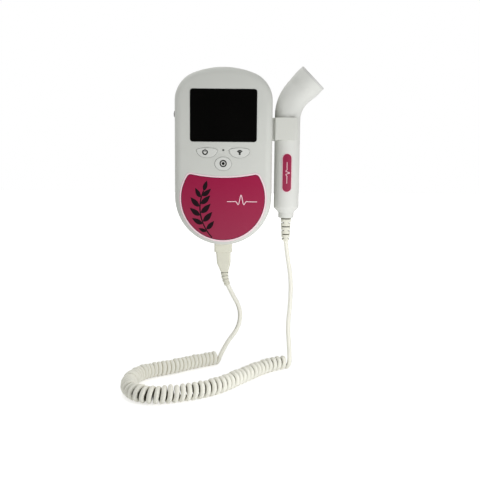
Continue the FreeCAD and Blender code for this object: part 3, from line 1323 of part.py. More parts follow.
def make_plug_relief():
    """Ribbed strain relief that leans towards the probe."""
    wires = []
    first_radius, last_radius = PLUG_RELIEF_CORE
    for index in range(PLUG_RELIEF_STEPS + 1):
        share = index / PLUG_RELIEF_STEPS
        place, heading = relief_station(PLUG_RELIEF_LENGTH * share)
        radius = first_radius + (last_radius - first_radius) * share
        wires.append(Part.Wire([Part.makeCircle(radius, place, heading)]))
    pieces = [Part.makeLoft(wires, True, False)]
    span = PLUG_RELIEF_LENGTH - PLUG_RIB_FIRST - PLUG_RIB_LAST
    for index in range(PLUG_RELIEF_RIBS):
        distance = PLUG_RIB_FIRST + span * index / (PLUG_RELIEF_RIBS - 1)
        pieces.append(relief_slice(distance, PLUG_TIP_RADIUS - PLUG_RIB_TAPER * index, PLUG_RIB_WIDTH))
    return fused(pieces)


# ---------------------------------------------------------------- lead
def tube_path(points, name):
    """Straight runs joined by tangent arcs, each as large as its two runs allow."""
    corners = [Vector(*p) for p in points]
    edges = []
    start = corners[0]
    radii = []
    for index in range(1, len(corners) - 1):
        before = corners[index] - corners[index - 1]
        after = corners[index + 1] - corners[index]
        shorter = min(before.Length, after.Length)
        turn = before.getAngle(after)
        setback = ROUTE_ROUNDING * shorter
        radius = setback / math.tan(turn / 2)
        radii.append(radius)
        into = Vector(before).normalize()
        out = Vector(after).normalize()
        first = corners[index] - into * setback
        last = corners[index] + out * setback
        inward = (out - into).normalize()
        apex_distance = radius / math.cos(turn / 2) - radius
        middle = corners[index] + inward * apex_distance
        edges.append(Part.LineSegment(start, first).toShape())
        edges.append(Part.Arc(first, middle, last).toShape())
        start = last
    edges.append(Part.LineSegment(start, corners[-1]).toShape())
    path = Part.Wire(edges)
    print(name, "arc radii", [round(r, 1) for r in radii], "length", round(path.Length, 1))
    return path


def tube(points, diameter, name):
    """Round tube along a route."""
    path = tube_path(points, name)
    heading = Vector(*points[1]) - Vector(*points[0])
    ring = Part.Wire([Part.makeCircle(diameter / 2, Vector(*points[0]), heading)])
    solid = path.makePipeShell([ring], True, False)
    expected = math.pi * diameter * diameter / 4 * path.Length
    print(name, "volume over section times length", round(solid.Volume / expected, 4))
    return solid


# ---------------------------------------------------------------- assembly
def build():
    """Fill the table of parts."""
    block = case_block(0)
    hull = block.cut(case_block(WALL))
    parts["front_shell"] = make_front_shell(hull)
    parts["rear_shell"] = make_rear_shell(hull)
    parts["battery_door"] = make_battery_door(block)
    parts["display_window"] = make_display_window()
    parts["front_overlay"] = make_overlay()
    for name in KEY_CENTRES:
        parts[name] = make_key(name)
    parts["keypad_membrane"] = make_membrane()
    parts["led_light_pipe"] = make_light_pipe()
    parts["main_board"] = make_main_board()
    parts["board_screws"] = make_board_screws()
    parts["lcd_module"] = make_lcd_module()
    parts["speaker"] = make_speaker()
    parts["volume_pot"] = make_volume_pot()
    parts["volume_wheel"] = make_volume_wheel()
    parts["headphone_jack"] = make_headphone_jack()
    parts["probe_socket"] = make_probe_socket()
    parts["battery_cell_left"] = make_cell(-1)
    parts["battery_cell_right"] = make_cell(1)
    parts["battery_contacts"] = make_battery_contacts()
    parts["case_screws"] = Part.makeCompound([case_screw(x, z) for x, z in SCREW_PLACES])
    parts["holder_screws"] = make_holder_screws()
    parts["probe_holder"] = make_probe_holder()
    front, rear = make_probe_shells()
    turned = {
        "probe_front_shell": front,
        "probe_rear_shell": rear,
        "transducer_face": make_transducer_face(),
        "piezo_crystals": make_crystals(),
        "crystal_backing": make_backing(),
        "probe_board": make_probe_board(),
    }
    for name, shape in turned.items():
        parts[name] = about_handle(shape, PROBE_TURN)
    parts["probe_label"] = about_handle(make_probe_label(), LABEL_TURN)
    parts["probe_collar"] = make_probe_collar()
    parts["probe_strain_relief"] = make_probe_relief()
    parts["plug_body"] = make_plug_body()
    parts["plug_contacts"] = make_plug_contacts()
    parts["plug_strain_relief"] = make_plug_relief()
    parts["lead_probe_side"] = tube(LEAD_PROBE_ROUTE, LEAD_DIAMETER, "lead_probe_side")
    parts["curly_section"] = tube(COIL_ROUTE, COIL_DIAMETER, "curly_section")
    parts["lead_case_side"] = tube(LEAD_CASE_ROUTE, LEAD_DIAMETER, "lead_case_side")


def export():
    """Write one STEP file for each part."""
    os.makedirs("parts", exist_ok=True)
    for name, shape in parts.items():
        solids = shape.Solids
        print(name, "solids", len(solids), "valid", shape.isValid(), "volume", round(shape.Volume, 1))
        result = solids[0] if len(solids) == 1 else Part.makeCompound(solids)
        result.exportStep(os.path.join("parts", name + ".step"))


build()
export()
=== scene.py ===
import json
import math

import bmesh
import bpy
from mathutils import Matrix, Vector


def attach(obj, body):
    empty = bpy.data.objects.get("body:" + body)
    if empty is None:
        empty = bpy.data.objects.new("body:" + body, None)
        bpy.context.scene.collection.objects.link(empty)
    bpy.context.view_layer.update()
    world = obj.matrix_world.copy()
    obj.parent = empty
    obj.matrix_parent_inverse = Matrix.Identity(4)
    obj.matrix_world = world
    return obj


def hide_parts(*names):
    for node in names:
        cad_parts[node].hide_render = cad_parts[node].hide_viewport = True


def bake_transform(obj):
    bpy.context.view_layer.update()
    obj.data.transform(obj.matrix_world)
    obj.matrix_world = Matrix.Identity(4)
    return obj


# Looks of the pocket fetal doppler monitor. Lengths are in millimetres times MM, in the CAD frame:
# origin at the centre of the flat back, +Y out of the back, +Z up, +X towards the probe.
MM = 0.001

# ---------------------------------------------------------------- camera
CAMERA_PLACE = (13.0, -488.3, -6.1)
CAMERA_PITCH = 7.0           # degrees below the horizon
CAMERA_ROLL = 0.5            # degrees
CAMERA_FOCAL = 606.0         # in pixels of a 480 pixel frame
CAMERA_CLIP = (0.01, 100.0)  # metres
FRAME_PIXELS = 480.0
SENSOR = 36.0

# ---------------------------------------------------------------- cord: route
SURFACE_Z = -162.4           # the level that the coil lies on
WIRE_DIAMETER = 3.4
COIL_CENTRE_Z = -156.65
LEAD_PROBE_ROUTE = [
    (48.6, -17.0, -63.3),
    (50.0, -17.0, -74.4),
    (53.5, -18.0, -94.4),
    (52.9, -22.0, -113.4),
    (50.7, -28.0, -130.4),
    (51.8, -33.4, -144.4),
    (52.1, -35.5, -156.4),
]
COIL_ROUTE = [
    (50.5, -32.0, COIL_CENTRE_Z),
    (38.5, -37.0, COIL_CENTRE_Z),
    (18.5, -60.5, COIL_CENTRE_Z),
    (-1.5, -88.5, COIL_CENTRE_Z),
    (-25.0, -101.5, COIL_CENTRE_Z),
    (-47.7, -106.2, COIL_CENTRE_Z),
    (-61.2, -95.3, COIL_CENTRE_Z),
    (-64.2, -76.0, COIL_CENTRE_Z),
    (-57.6, -58.0, COIL_CENTRE_Z),
    (-38.0, -47.5, COIL_CENTRE_Z),
    (-20.5, -33.0, COIL_CENTRE_Z),
    (-4.5, -24.0, COIL_CENTRE_Z),
]
LEAD_CASE_ROUTE = [
    (-2.6, -27.4, -156.4),
    (2.2, -25.4, -145.4),
    (12.9, -21.5, -132.9),
    (14.1, -18.5, -118.9),
    (6.7, -17.0, -106.2),
    (3.2, -17.0, -98.9),
]
ROUTE_ORDER = 3
ROUTE_STEPS = 24             # steps between two points of a route

# ---------------------------------------------------------------- cord: turns
COIL_TURNS = 61
COIL_TIGHT = 10.8            # outer diameter near the ends
COIL_WIDE = 12.1             # outer diameter where the coil is widest
COIL_WIDE_PLACE = 0.46       # share of the coil's length where it is widest
COIL_WIDE_SPREAD = 0.27
COIL_OPEN_END = 0.62         # the turns lie further apart from the probe's end up to this share
COIL_OPEN_FADE = 0.03
COIL_OPEN_PITCH = 0.40       # extra pitch at the probe's end
COIL_OPEN_LOSS = 0.95        # how fast the extra pitch falls along the coil
PITCH_WAVES = [(0.04, 37.0, 0.0), (0.03, 83.0, 1.0)]     # size, rate and start of each wave
SWELL_WAVES = [(0.02, 0.61, 0.0), (0.015, 0.23, 2.0)]
AXIS_STEP = 0.25             # spacing of the points of the coil's axis
AXIS_REACH = 12              # steps either side that give the coil's direction
POINTS_PER_TURN = 26
TUBE_SIDES = 14
EASE_REACH = 5               # points either side of a joint that are smoothed
EASE_ROUNDS = 6
BEND_STEP = 1.0              # shortest step over which the wire's bend is measured
INNER_SIDE = "inner_side"    # attribute of the cord's mesh

# ---------------------------------------------------------------- prints: common sizes
PRINT_HEIGHT = 0.03          # ink above the surface it is printed on
PRINT_SINK = 0.02            # ink below that surface
PRINT_STEP = 0.004           # each strip of a print lies this much over the one before
ARC_STEPS = 48
DOT_GAP = 1                  # degrees between the two halves of a filled circle

# ---------------------------------------------------------------- prints: film
FILM_FRONT_Y = -33.95
FILM_RADIUS = 32.6
FILM_CENTRE_Z = -30.7
FILM_TOP_Z = -14.1           # lowest point of the concave top edge
FILM_TOP_RADIUS = 115.0
FILM_CORNER = 4.3
FILM_BORDER = 1.1
FILM_RIM = 0.4               # dark line inside the border
FILM_TOP_STEPS = 24
FILM_CORNER_STEPS = 10
FILM_ROUND_STEPS = 96
SPRIG_STEM = [(-8.0, -60.3), (-16.0, -52.0), (-20.5, -38.0), (-14.5, -25.0)]
SPRIG_STEM_WIDTH = 0.9
SPRIG_STEM_STEPS = 40
SPRIG_LEAVES = [             # share of the stem, degrees, length, side
    (0.17, 168, 6.5, -1), (0.22, 40, 8.5, 1), (0.34, 160, 9.0, -1), (0.39, 38, 10.0, 1),
    (0.52, 152, 9.5, -1), (0.57, 36, 10.0, 1), (0.70, 142, 9.5, -1), (0.74, 34, 9.5, 1),
    (0.88, 128, 8.0, -1), (0.90, 32, 8.5, 1), (1.0, 72, 8.0, 0),
]
LEAF_TIP = 0.02              # half width at both ends
LEAF_CURL = 0.14
LEAF_BREADTH = 0.4           # width over length
LEAF_FULLNESS = 0.8          # below 1 the widest place moves towards the foot
LEAF_STEPS = 16
PULSE_LINE = (               # ends, level, height of the beat, its place and its width
    3.0, 25.5, -33.0, 5.0, 13.5, 2.6,
)
PULSE_WIDTH = 0.5
PULSE_STEPS = 160
PULSE_RIPPLE = 3.2           # how often the beat swings within its width

# ---------------------------------------------------------------- prints: keys and label
KEY_FRONT_Y = -34.5
POWER_ICON = (-13.5, 3.6)
POWER_ARC = (2.15, 1.2, 122, 418)     # outer and inner radius, first and last angle
POWER_BAR = (0.3, 2.4)       # foot and head above the icon's middle
POWER_BAR_WIDTH = 0.8
MODE_ICON = (12.2, 2.4)
MODE_DOT = 0.75
MODE_ARCS = (1.8, 2.95)      # outer radii
MODE_ARC_WIDTH = 1.0
MODE_ARC_ANGLES = (43, 137)
RECORD_ICON = (0.0, -4.7)
RECORD_RING = (2.7, 1.75)    # outer and inner radius
RECORD_DOT = 1.15
LABEL_RADIUS = 10.0
PROBE_AXIS = (48.6, -17.0)
LABEL_MIDDLE_Z = -11.3
LABEL_HALF_WIDTH = 3.8
LABEL_HALF_HEIGHT = 14.7
LABEL_TURN = -3.0            # degrees from straight ahead
LABEL_BORDER = 0.4
LABEL_END_STEPS = 20
LABEL_PULSE = (-8.0, 8.0, 0.0, 2.0, 0.0, 1.6)            # as PULSE_LINE, along the label
LABEL_PULSE_WIDTH = 0.4

# ---------------------------------------------------------------- finishes
MOULDED = {
    "case_white": dict(colour=(0.62, 0.63, 0.597), roughness=0.52),
    "key_white": dict(colour=(0.66, 0.67, 0.64), roughness=0.5),
    "holder_white": dict(colour=(0.64, 0.645, 0.605), roughness=0.55),
    "probe_white": dict(colour=(0.675, 0.68, 0.65), roughness=0.52),
    "face_grey": dict(colour=(0.6, 0.6, 0.58), roughness=0.5),
    "silicone": dict(colour=(0.6, 0.6, 0.58), roughness=0.7),
    "indicator": dict(colour=(0.075, 0.085, 0.075), roughness=0.25, grain=1500.0, depth=0.004),
    "board": dict(colour=(0.03, 0.16, 0.07), roughness=0.45),
    "display": dict(colour=(0.2, 0.21, 0.2), roughness=0.3),
    "dark_plastic": dict(colour=(0.03, 0.03, 0.032), roughness=0.5, clouding=0.15),
    "wheel_grey": dict(colour=(0.16, 0.16, 0.165), roughness=0.6, grain=1800.0, depth=0.02, clouding=0.1),
    "ceramic": dict(colour=(0.7, 0.66, 0.55), roughness=0.6),
    "backing": dict(colour=(0.1, 0.1, 0.1), roughness=0.7, clouding=0.15),
    "cord_cream": dict(colour=(0.87, 0.86, 0.775), roughness=0.55, grain=900.0, depth=0.03),
    "plug_cream": dict(colour=(0.72, 0.71, 0.605), roughness=0.55, grain=1400.0, depth=0.02),
    "relief_cream": dict(colour=(0.73, 0.72, 0.63), roughness=0.55, grain=1400.0, depth=0.02),
    "print_pale": dict(colour=(0.88, 0.66, 0.72), roughness=0.45),
}
METALLIC = {
    "metal": dict(colour=(0.55, 0.55, 0.54), roughness=0.32, grain=1500.0),
    "cell": dict(colour=(0.1, 0.12, 0.16), roughness=0.4, grain=900.0),
}
INKED = {
    "print_dark": (0.014, 0.006, 0.009),
    "print_plum": (0.10, 0.012, 0.035),
    "icon_grey": (0.012, 0.012, 0.011),
}
PRINTED_FILM = {             # colour above and below, and the heights between which it changes
    "overlay_raspberry": ((0.30, 0.004, 0.048), (0.295, 0.024, 0.066), -62.0, -14.0),
    "label_raspberry": ((0.28, 0.012, 0.055), (0.30, 0.026, 0.070), -26.6, 2.8),
}
PAINTED_SLOT_SHADE = {               # painted shade: colour in a slot and how near its walls are
    "cord_cream": ((0.68, 0.645, 0.53), 1.3),
    "plug_cream": ((0.12, 0.115, 0.085), 1.6),
    "relief_cream": ((0.085, 0.078, 0.045), 2.4),
}
# painted shade on the side of the cord that faces the middle of the coil
COIL_INSIDE_SHADE = (0.13, 0.118, 0.078)
PLAIN_DETAIL = 2.0           # detail of a noise
FINE_DETAIL = 4.0
FINEST_DETAIL = 5.0
NOISE_RANGE = (0.3, 0.7)     # most of a noise lies between these
CLOUD_SCALE = 45.0
CLOUDING = 0.03              # how much darker the darkest clouds are
GLOSS_SCALE = 160.0
GLOSS_SPREAD = 0.05
SPARK_GRAIN = 2600.0
SPARK_DEPTH = 0.010
METAL_DEPTH = 0.004
METAL_CLOUDING = 0.1
INK_ROUGHNESS = 0.6
INK_SPECULAR = 0.08
INK_CLOUDING = 0.15
SLOT_SHADE_RANGE = (0.35, 0.85)    # open sky that a point sees, from in a slot to free; the painted shade fades out over it
INSIDE_SHADE_RANGE = (0.08, 0.4)   # values of INNER_SIDE over which painted shade darkens the cord
LENS_COLOURS = ((0.0014, 0.0014, 0.0012), (0.0022, 0.002, 0.0018))
LENS_CLOUD_SCALE = 25.0
LENS_SMUDGE_SCALE = 60.0
LENS_ROUGHNESS = (0.04, 0.1)
LENS_IOR = 1.45
FILM_GRAIN = 700.0
FILM_GLOSS_SCALE = 120.0
FILM_ROUGHNESS = (0.34, 0.46)
FILM_SPECULAR = 0.25
FILM_FADE_GAIN = 0.4
FILM_FADE_START = 0.24
FILM_FADE_NOISE = 0.12

# ---------------------------------------------------------------- studio
SEEN_RAYS = ["Is Camera Ray", "Is Glossy Ray", "Is Transmission Ray"]
FLOOR_HALF = 3.0             # metres
FLOOR_COLOUR = (0.8, 0.8, 0.8)
FLOOR_ROUGHNESS = 0.9
FLOOR_SPECULAR = 0.1
FLOOR_GLOW = (0.55, 0.95)    # beside the object and far from it
FLOOR_FADE = (0.2, 0.8)      # metres over which the glow rises
FLOOR_BOUNCE = 0.36          # share of its glow that the floor throws on the object
SURROUND_COLOUR = (0.99, 1.0, 0.975)
SURROUND_STRENGTH = (0.02, 0.58)      # away from the bright side and towards it
BRIGHT_SIDE = (-0.45, 0.6, 0.65)
DARK_CORNER = (0.03, -1.0, 0.06)
DARK_CORNER_ANGLES = (18.0, 30.0)     # dark within the first, clear beyond the second
DARK_CORNER_STRENGTH = 0.03
LIGHTS = [                   # name, place, target, size and power
    ("key", (125, -195, -65), (25, -30, -30), 180, 0.295),
    ("overhead", (-120, -30, 400), (-20, -50, -160), 300, 0.75),
]


def metres(point):
    """Point in metres from one in millimetres."""
    return Vector(point) * MM


def add_object(name, mesh):
    """Object that shows a mesh."""
    piece = bpy.data.objects.new(name, mesh)
    bpy.context.scene.collection.objects.link(piece)
    return piece


# ---------------------------------------------------------------- cord
def spline_points(route):
    """Points of the smooth line that a route stands for, in metres."""
    curve = bpy.data.curves.new("route", "CURVE")
    curve.dimensions = "3D"
    curve.resolution_u = ROUTE_STEPS
    spline = curve.splines.new("NURBS")
    spline.points.add(len(route) - 1)
    for point, place in zip(spline.points, route):
        point.co = (*metres(place), 1.0)
    spline.order_u = ROUTE_ORDER
    spline.use_endpoint_u = True
    holder = add_object("route", curve)
    bpy.context.view_layer.update()
    graph = bpy.context.evaluated_depsgraph_get()
    mesh = bpy.data.meshes.new_from_object(holder.evaluated_get(graph))
    points = [vertex.co.copy() for vertex in mesh.vertices]
    bpy.data.meshes.remove(mesh)
    bpy.data.objects.remove(holder)
    bpy.data.curves.remove(curve)
    return points


def resampled(points, spacing):
    """The same line with evenly spaced points."""
    lengths = [0.0]
    for before, after in zip(points, points[1:]):
        lengths.append(lengths[-1] + (after - before).length)
    count = max(2, round(lengths[-1] / spacing))
    found = []
    index = 0
    for step in range(count + 1):
        wanted = lengths[-1] * step / count
        while index < len(points) - 2 and lengths[index + 1] < wanted:
            index += 1
        span = lengths[index + 1] - lengths[index]
        share = (wanted - lengths[index]) / span if span else 0.0
        found.append(points[index].lerp(points[index + 1], min(share, 1.0)))
    return found


def waves(table, value):
    """Sum of sine waves."""
    return sum(size * math.sin(rate * value + start) for size, rate, start in table)


def coil_diameter(share):
    """Outer diameter of the coil at a share of its length."""
    offset = (share - COIL_WIDE_PLACE) / COIL_WIDE_SPREAD
    return COIL_TIGHT + (COIL_WIDE - COIL_TIGHT) * math.exp(-offset * offset)


def openness(share):
    """How far the turns are drawn apart, 0 to 1, at a share of the coil's length."""
    fall = 1.0 - COIL_OPEN_LOSS * share
    return fall / (1.0 + math.exp((share - COIL_OPEN_END) / COIL_OPEN_FADE))


def turned_angles(count):
    """Angle that the wire has turned to at each step along the coil's axis."""
    turned = [0.0]
    for index in range(count):
        share = index / count
        extra = (COIL_OPEN_PITCH + waves(PITCH_WAVES, share)) * openness(share)
        turned.append(turned[-1] + 1.0 / (1.0 + extra))
    whole = math.pi + 2 * math.pi * COIL_TURNS
    return [math.pi + whole * value / turned[-1] for value in turned]


def coil_points():
    """Helix of the curly section around its route, lying on the surface."""
    axis = resampled(spline_points(COIL_ROUTE), AXIS_STEP * MM)
    count = len(axis) - 1
    angles = turned_angles(count)
    whole = math.pi + 2 * math.pi * COIL_TURNS
    steps = COIL_TURNS * POINTS_PER_TURN
    found = []
    index = 0
    for step in range(steps + 1):
        angle = math.pi + whole * step / steps
        while index < count - 1 and angles[index + 1] < angle:
            index += 1
        mix = (angle - angles[index]) / (angles[index + 1] - angles[index])
        centre = axis[index].lerp(axis[index + 1], mix)
        ahead = axis[min(index + AXIS_REACH, count)] - axis[max(index - AXIS_REACH, 0)]
        side = ahead.cross(Vector((0, 0, 1))).normalized()
        outer = coil_diameter((index + mix) / count)
        radius = (outer * (1.0 + waves(SWELL_WAVES, angle)) - WIRE_DIAMETER) / 2 * MM
        rise = (SURFACE_Z + WIRE_DIAMETER / 2) * MM + radius - centre.z
        around = side * math.cos(angle) * radius
        around.z = math.sin(angle) * radius + rise
        found.append(centre + around)
    return found


def eased(points, place):
    """Smooths the line about one of its points, where two stretches meet."""
    result = list(points)
    for _ in range(EASE_ROUNDS):
        source = list(result)
        for index in range(place - EASE_REACH, place + EASE_REACH + 1):
            result[index] = (source[index - 1] + source[index] * 2 + source[index + 1]) / 4
    return result


def cord_points():
    """The whole cord's centreline, from the probe to the plug."""
    coil = coil_points()
    spacing = (coil[1] - coil[0]).length
    first = resampled(spline_points(LEAD_PROBE_ROUTE), spacing)
    last = resampled(spline_points(LEAD_CASE_ROUTE), spacing)
    points = first[:-1] + coil + last[1:]
    points = eased(points, len(first) - 1)
    return eased(points, len(first) + len(coil) - 2)


def tube_faces(rings, sides):
    """Faces of a round tube, closed at both ends."""
    faces = []
    for level in range(rings - 1):
        for side in range(sides):
            beside = (side + 1) % sides
            low = level * sides
            high = low + sides
            faces.append((low + side, low + beside, high + beside, high + side))
    faces.append(tuple(reversed(range(sides))))
    faces.append(tuple(range((rings - 1) * sides, rings * sides)))
    return faces


def tube_mesh(name, points, diameter, sides):
    """Round tube along a line of points.

    The attribute INNER_SIDE is 1 where the tube faces the middle of a turn and 0 on a straight; it masks
    the painted shade inside the coil.
    """
    radius = diameter / 2
    vertices = []
    inner = []
    normal = Vector((0, 1, 0))
    for index, centre in enumerate(points):
        before = points[max(index - 1, 0)]
        after = points[min(index + 1, len(points) - 1)]
        heading = (after - before).normalized()
        normal = (normal - heading * normal.dot(heading)).normalized()
        binormal = heading.cross(normal)
        bend = (before + after - 2 * centre) / max((after - before).length / 2, BEND_STEP * MM) ** 2
        for side in range(sides):
            angle = 2 * math.pi * side / sides
            outward = normal * math.cos(angle) + binormal * math.sin(angle)
            vertices.append(tuple(centre + outward * radius))
            inner.append(min(max(outward.dot(bend) * COIL_TIGHT / 2 * MM, 0.0), 1.0))
    mesh = bpy.data.meshes.new(name)
    mesh.from_pydata(vertices, [], tube_faces(len(points), sides))
    mesh.polygons.foreach_set("use_smooth", [True] * len(mesh.polygons))
    mesh.attributes.new(INNER_SIDE, "FLOAT", "POINT").data.foreach_set("value", inner)
    mesh.update()
    return mesh


def make_cord(finish):
    """Curly cord in one piece, in place of the imported leads and curly section."""
    points = cord_points()
    piece = add_object("curly_cord", tube_mesh("curly_cord", points, WIRE_DIAMETER * MM, TUBE_SIDES))
    piece.data.materials.append(finish)
    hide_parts("lead_probe_side", "curly_section", "lead_case_side")
    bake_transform(piece)


# ---------------------------------------------------------------- outlines of prints
def arc_points(centre, radius, first, last, steps=ARC_STEPS):
    """Points along a circular arc, in degrees from +X towards +Z."""
    found = []
    for step in range(steps + 1):
        angle = math.radians(first + (last - first) * step / steps)
        found.append((centre[0] + radius * math.cos(angle), centre[1] + radius * math.sin(angle)))
    return found


def ring(centre, outer, inner):
    """Closed round strip."""
    return (arc_points(centre, outer, 0, 360)[:-1], arc_points(centre, inner, 0, 360)[:-1], True)


def arc_strip(centre, outer, inner, first, last):
    """Strip along part of a circle."""
    return (arc_points(centre, outer, first, last), arc_points(centre, inner, first, last), False)


def dot(centre, radius):
    """Filled circle, as a strip between its left and its right half."""
    left = arc_points(centre, radius, 90 + DOT_GAP, 270 - DOT_GAP)
    right = arc_points(centre, radius, 90 - DOT_GAP, DOT_GAP - 90)
    return (left, right, False)


def ribbon(points, width):
    """Strip of even width along a line."""
    first = []
    second = []
    for index, point in enumerate(points):
        before = points[max(index - 1, 0)]
        after = points[min(index + 1, len(points) - 1)]
        along = Vector((after[0] - before[0], after[1] - before[1])).normalized()
        first.append((point[0] - along.y * width / 2, point[1] + along.x * width / 2))
        second.append((point[0] + along.y * width / 2, point[1] - along.x * width / 2))
    return (first, second, False)


def leaf(foot, degrees, length, curl):
    """Pointed leaf that grows from its foot and bends to one side."""
    angle = math.radians(degrees)
    along = Vector((math.cos(angle), math.sin(angle)))
    across = Vector((-along.y, along.x))
    first = []
    second = []
    for step in range(LEAF_STEPS + 1):
        share = step / LEAF_STEPS
        half = LEAF_BREADTH * length / 2 * math.sin(math.pi * share ** LEAF_FULLNESS) + LEAF_TIP
        middle = Vector(foot) + (along * share + across * curl * share * share) * length
        first.append(tuple(middle + across * half))
        second.append(tuple(middle - across * half))
    return (first, second, False)


def bezier(points, steps):
    """Points of a cubic curve in the plane of a print."""
    found = []
    for step in range(steps + 1):
        t = step / steps
        weights = ((1 - t) ** 3, 3 * t * (1 - t) ** 2, 3 * t * t * (1 - t), t ** 3)
        found.append(tuple(sum(w * p[axis] for w, p in zip(weights, points)) for axis in (0, 1)))
    return found


def pulse_line(start_x, end_x, base_z, height, beat_x, beat_width):
    """Level line with one smooth beat in it."""
    found = []
    for step in range(PULSE_STEPS + 1):
        x = start_x + (end_x - start_x) * step / PULSE_STEPS
        offset = (x - beat_x) / beat_width
        beat = math.exp(-offset * offset) * math.cos(PULSE_RIPPLE * offset)
        found.append((x, base_z + height * beat))
    return found


def film_outline(inset):
    """Outline of the film, drawn in by an inset."""
    rise = FILM_TOP_Z + FILM_TOP_RADIUS - FILM_CENTRE_Z
    near = FILM_RADIUS - FILM_CORNER
    far = FILM_TOP_RADIUS + FILM_CORNER
    height = (near * near - far * far + rise * rise) / (2 * rise)
    corner_x = math.sqrt(near * near - height * height)
    corner_z = FILM_CENTRE_Z + height
    disc_angle = math.degrees(math.atan2(height, corner_x))
    top_centre = (0.0, FILM_TOP_Z + FILM_TOP_RADIUS)
    top_angle = math.degrees(math.atan2(corner_z - top_centre[1], corner_x))
    corner = FILM_CORNER - inset
    arcs = [
        (top_centre, FILM_TOP_RADIUS + inset, -180 - top_angle, top_angle, FILM_TOP_STEPS),
        ((corner_x, corner_z), corner, top_angle + 180, disc_angle, FILM_CORNER_STEPS),
        ((0.0, FILM_CENTRE_Z), FILM_RADIUS - inset, disc_angle, -180 - disc_angle, FILM_ROUND_STEPS),
        ((-corner_x, corner_z), corner, 180 - disc_angle, -top_angle, FILM_CORNER_STEPS),
    ]
    outline = []
    for arc in arcs:
        outline += arc_points(*arc)[:-1]
    return outline


def stadium(half_width, half_height):
    """Outline with two round ends, about the middle of the label."""
    rise = half_height - half_width
    top = arc_points((0.0, LABEL_MIDDLE_Z + rise), half_width, 0, 180, LABEL_END_STEPS)
    bottom = arc_points((0.0, LABEL_MIDDLE_Z - rise), half_width, 180, 360, LABEL_END_STEPS)
    return top + bottom


# ---------------------------------------------------------------- prints
def on_flat(front_y):
    """Places a print on a flat face at one depth."""
    return lambda u, v, height: (u, front_y - height, v)


def on_label(u, v, height):
    """Places a print on the round label of the probe."""
    angle = math.radians(LABEL_TURN) + u / LABEL_RADIUS
    reach = LABEL_RADIUS + height
    return (PROBE_AXIS[0] + reach * math.sin(angle), PROBE_AXIS[1] - reach * math.cos(angle), v)


def strip_vertices(first, second, place, height):
    """Top and bottom points along both edges of a strip."""
    found = []
    for edge in (first, second):
        for u, v in edge:
            found.append(tuple(metres(place(u, v, height))))
            found.append(tuple(metres(place(u, v, -PRINT_SINK))))
    return found


def strip_faces(base, count, closed):
    """Faces round a strip whose points start at a base number."""
    faces = []
    for index in range(count if closed else count - 1):
        after = (index + 1) % count
        a_top, b_top = base + 2 * index, base + 2 * after
        c_top, d_top = a_top + 2 * count, b_top + 2 * count
        faces.append((a_top, b_top, d_top, c_top))
        faces.append((a_top + 1, c_top + 1, d_top + 1, b_top + 1))
        faces.append((a_top, a_top + 1, b_top + 1, b_top))
        faces.append((c_top, d_top, d_top + 1, c_top + 1))
    if not closed:
        for index in (0, count - 1):
            a_top = base + 2 * index
            c_top = a_top + 2 * count
            faces.append((a_top, c_top, c_top + 1, a_top + 1))
    return faces


def print_strips(name, strips, place, finish, body):
    """Thin raised print made of strips, each between two edges with as many points."""
    vertices = []
    faces = []
    for layer, (first, second, closed) in enumerate(strips):
        faces += strip_faces(len(vertices), len(first), closed)
        vertices += strip_vertices(first, second, place, PRINT_HEIGHT + PRINT_STEP * layer)
    mesh = bpy.data.meshes.new(name)
    mesh.from_pydata(vertices, [], faces)
    fix = bmesh.new()
    fix.from_mesh(mesh)
    bmesh.ops.recalc_face_normals(fix, faces=fix.faces)
    fix.to_mesh(mesh)
    fix.free()
    mesh.materials.append(finish)
    piece = add_object(name, mesh)
    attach(piece, body)


def sprig_strips():
    """Leafy twig on the left of the film."""
    stem = bezier(SPRIG_STEM, SPRIG_STEM_STEPS)
    strips = [ribbon(stem, SPRIG_STEM_WIDTH)]
    for share, degrees, length, side in SPRIG_LEAVES:
        x, z = stem[round(share * (len(stem) - 1))]
        foot = (x + side * SPRIG_STEM_WIDTH / 2, z)
        strips.append(leaf(foot, degrees, length, side * LEAF_CURL))
    return strips


def make_film_prints(pale, dark, plum):
    """Pale border with a dark rim, twig and beat line on the film."""
    place = on_flat(FILM_FRONT_Y)
    border = [(film_outline(0.0), film_outline(FILM_BORDER), True)]
    print_strips("overlay_border", border, place, pale, "case")
    rim = [(film_outline(FILM_BORDER), film_outline(FILM_BORDER + FILM_RIM), True)]
    print_strips("overlay_rim", rim, place, plum, "case")
    print_strips("overlay_sprig", sprig_strips(), place, dark, "case")
    beat = [ribbon(pulse_line(*PULSE_LINE), PULSE_WIDTH)]
    print_strips("overlay_beat_line", beat, place, pale, "case")


def make_key_icons(ink):
    """Plain signs on the three keys."""
    place = on_flat(KEY_FRONT_Y)
    x, z = POWER_ICON
    stroke = ribbon([(x, z + height) for height in POWER_BAR], POWER_BAR_WIDTH)
    print_strips("power_icon", [arc_strip((x, z), *POWER_ARC), stroke], place, ink, "power_button")
    mode = [dot(MODE_ICON, MODE_DOT)]
    for outer in MODE_ARCS:
        mode.append(arc_strip(MODE_ICON, outer, outer - MODE_ARC_WIDTH, *MODE_ARC_ANGLES))
    print_strips("mode_icon", mode, place, ink, "mode_button")
    record = [ring(RECORD_ICON, *RECORD_RING), dot(RECORD_ICON, RECORD_DOT)]
    print_strips("record_icon", record, place, ink, "record_button")


def make_label_prints(pale):
    """Pale edge and a small beat line on the probe's label."""
    outer = stadium(LABEL_HALF_WIDTH, LABEL_HALF_HEIGHT)
    inner = stadium(LABEL_HALF_WIDTH - LABEL_BORDER, LABEL_HALF_HEIGHT - LABEL_BORDER)
    print_strips("label_border", [(outer, inner, True)], on_label, pale, "probe")
    upright = [(z, LABEL_MIDDLE_Z + x) for x, z in pulse_line(*LABEL_PULSE)]
    print_strips("label_beat_line", [ribbon(upright, LABEL_PULSE_WIDTH)], on_label, pale, "probe")


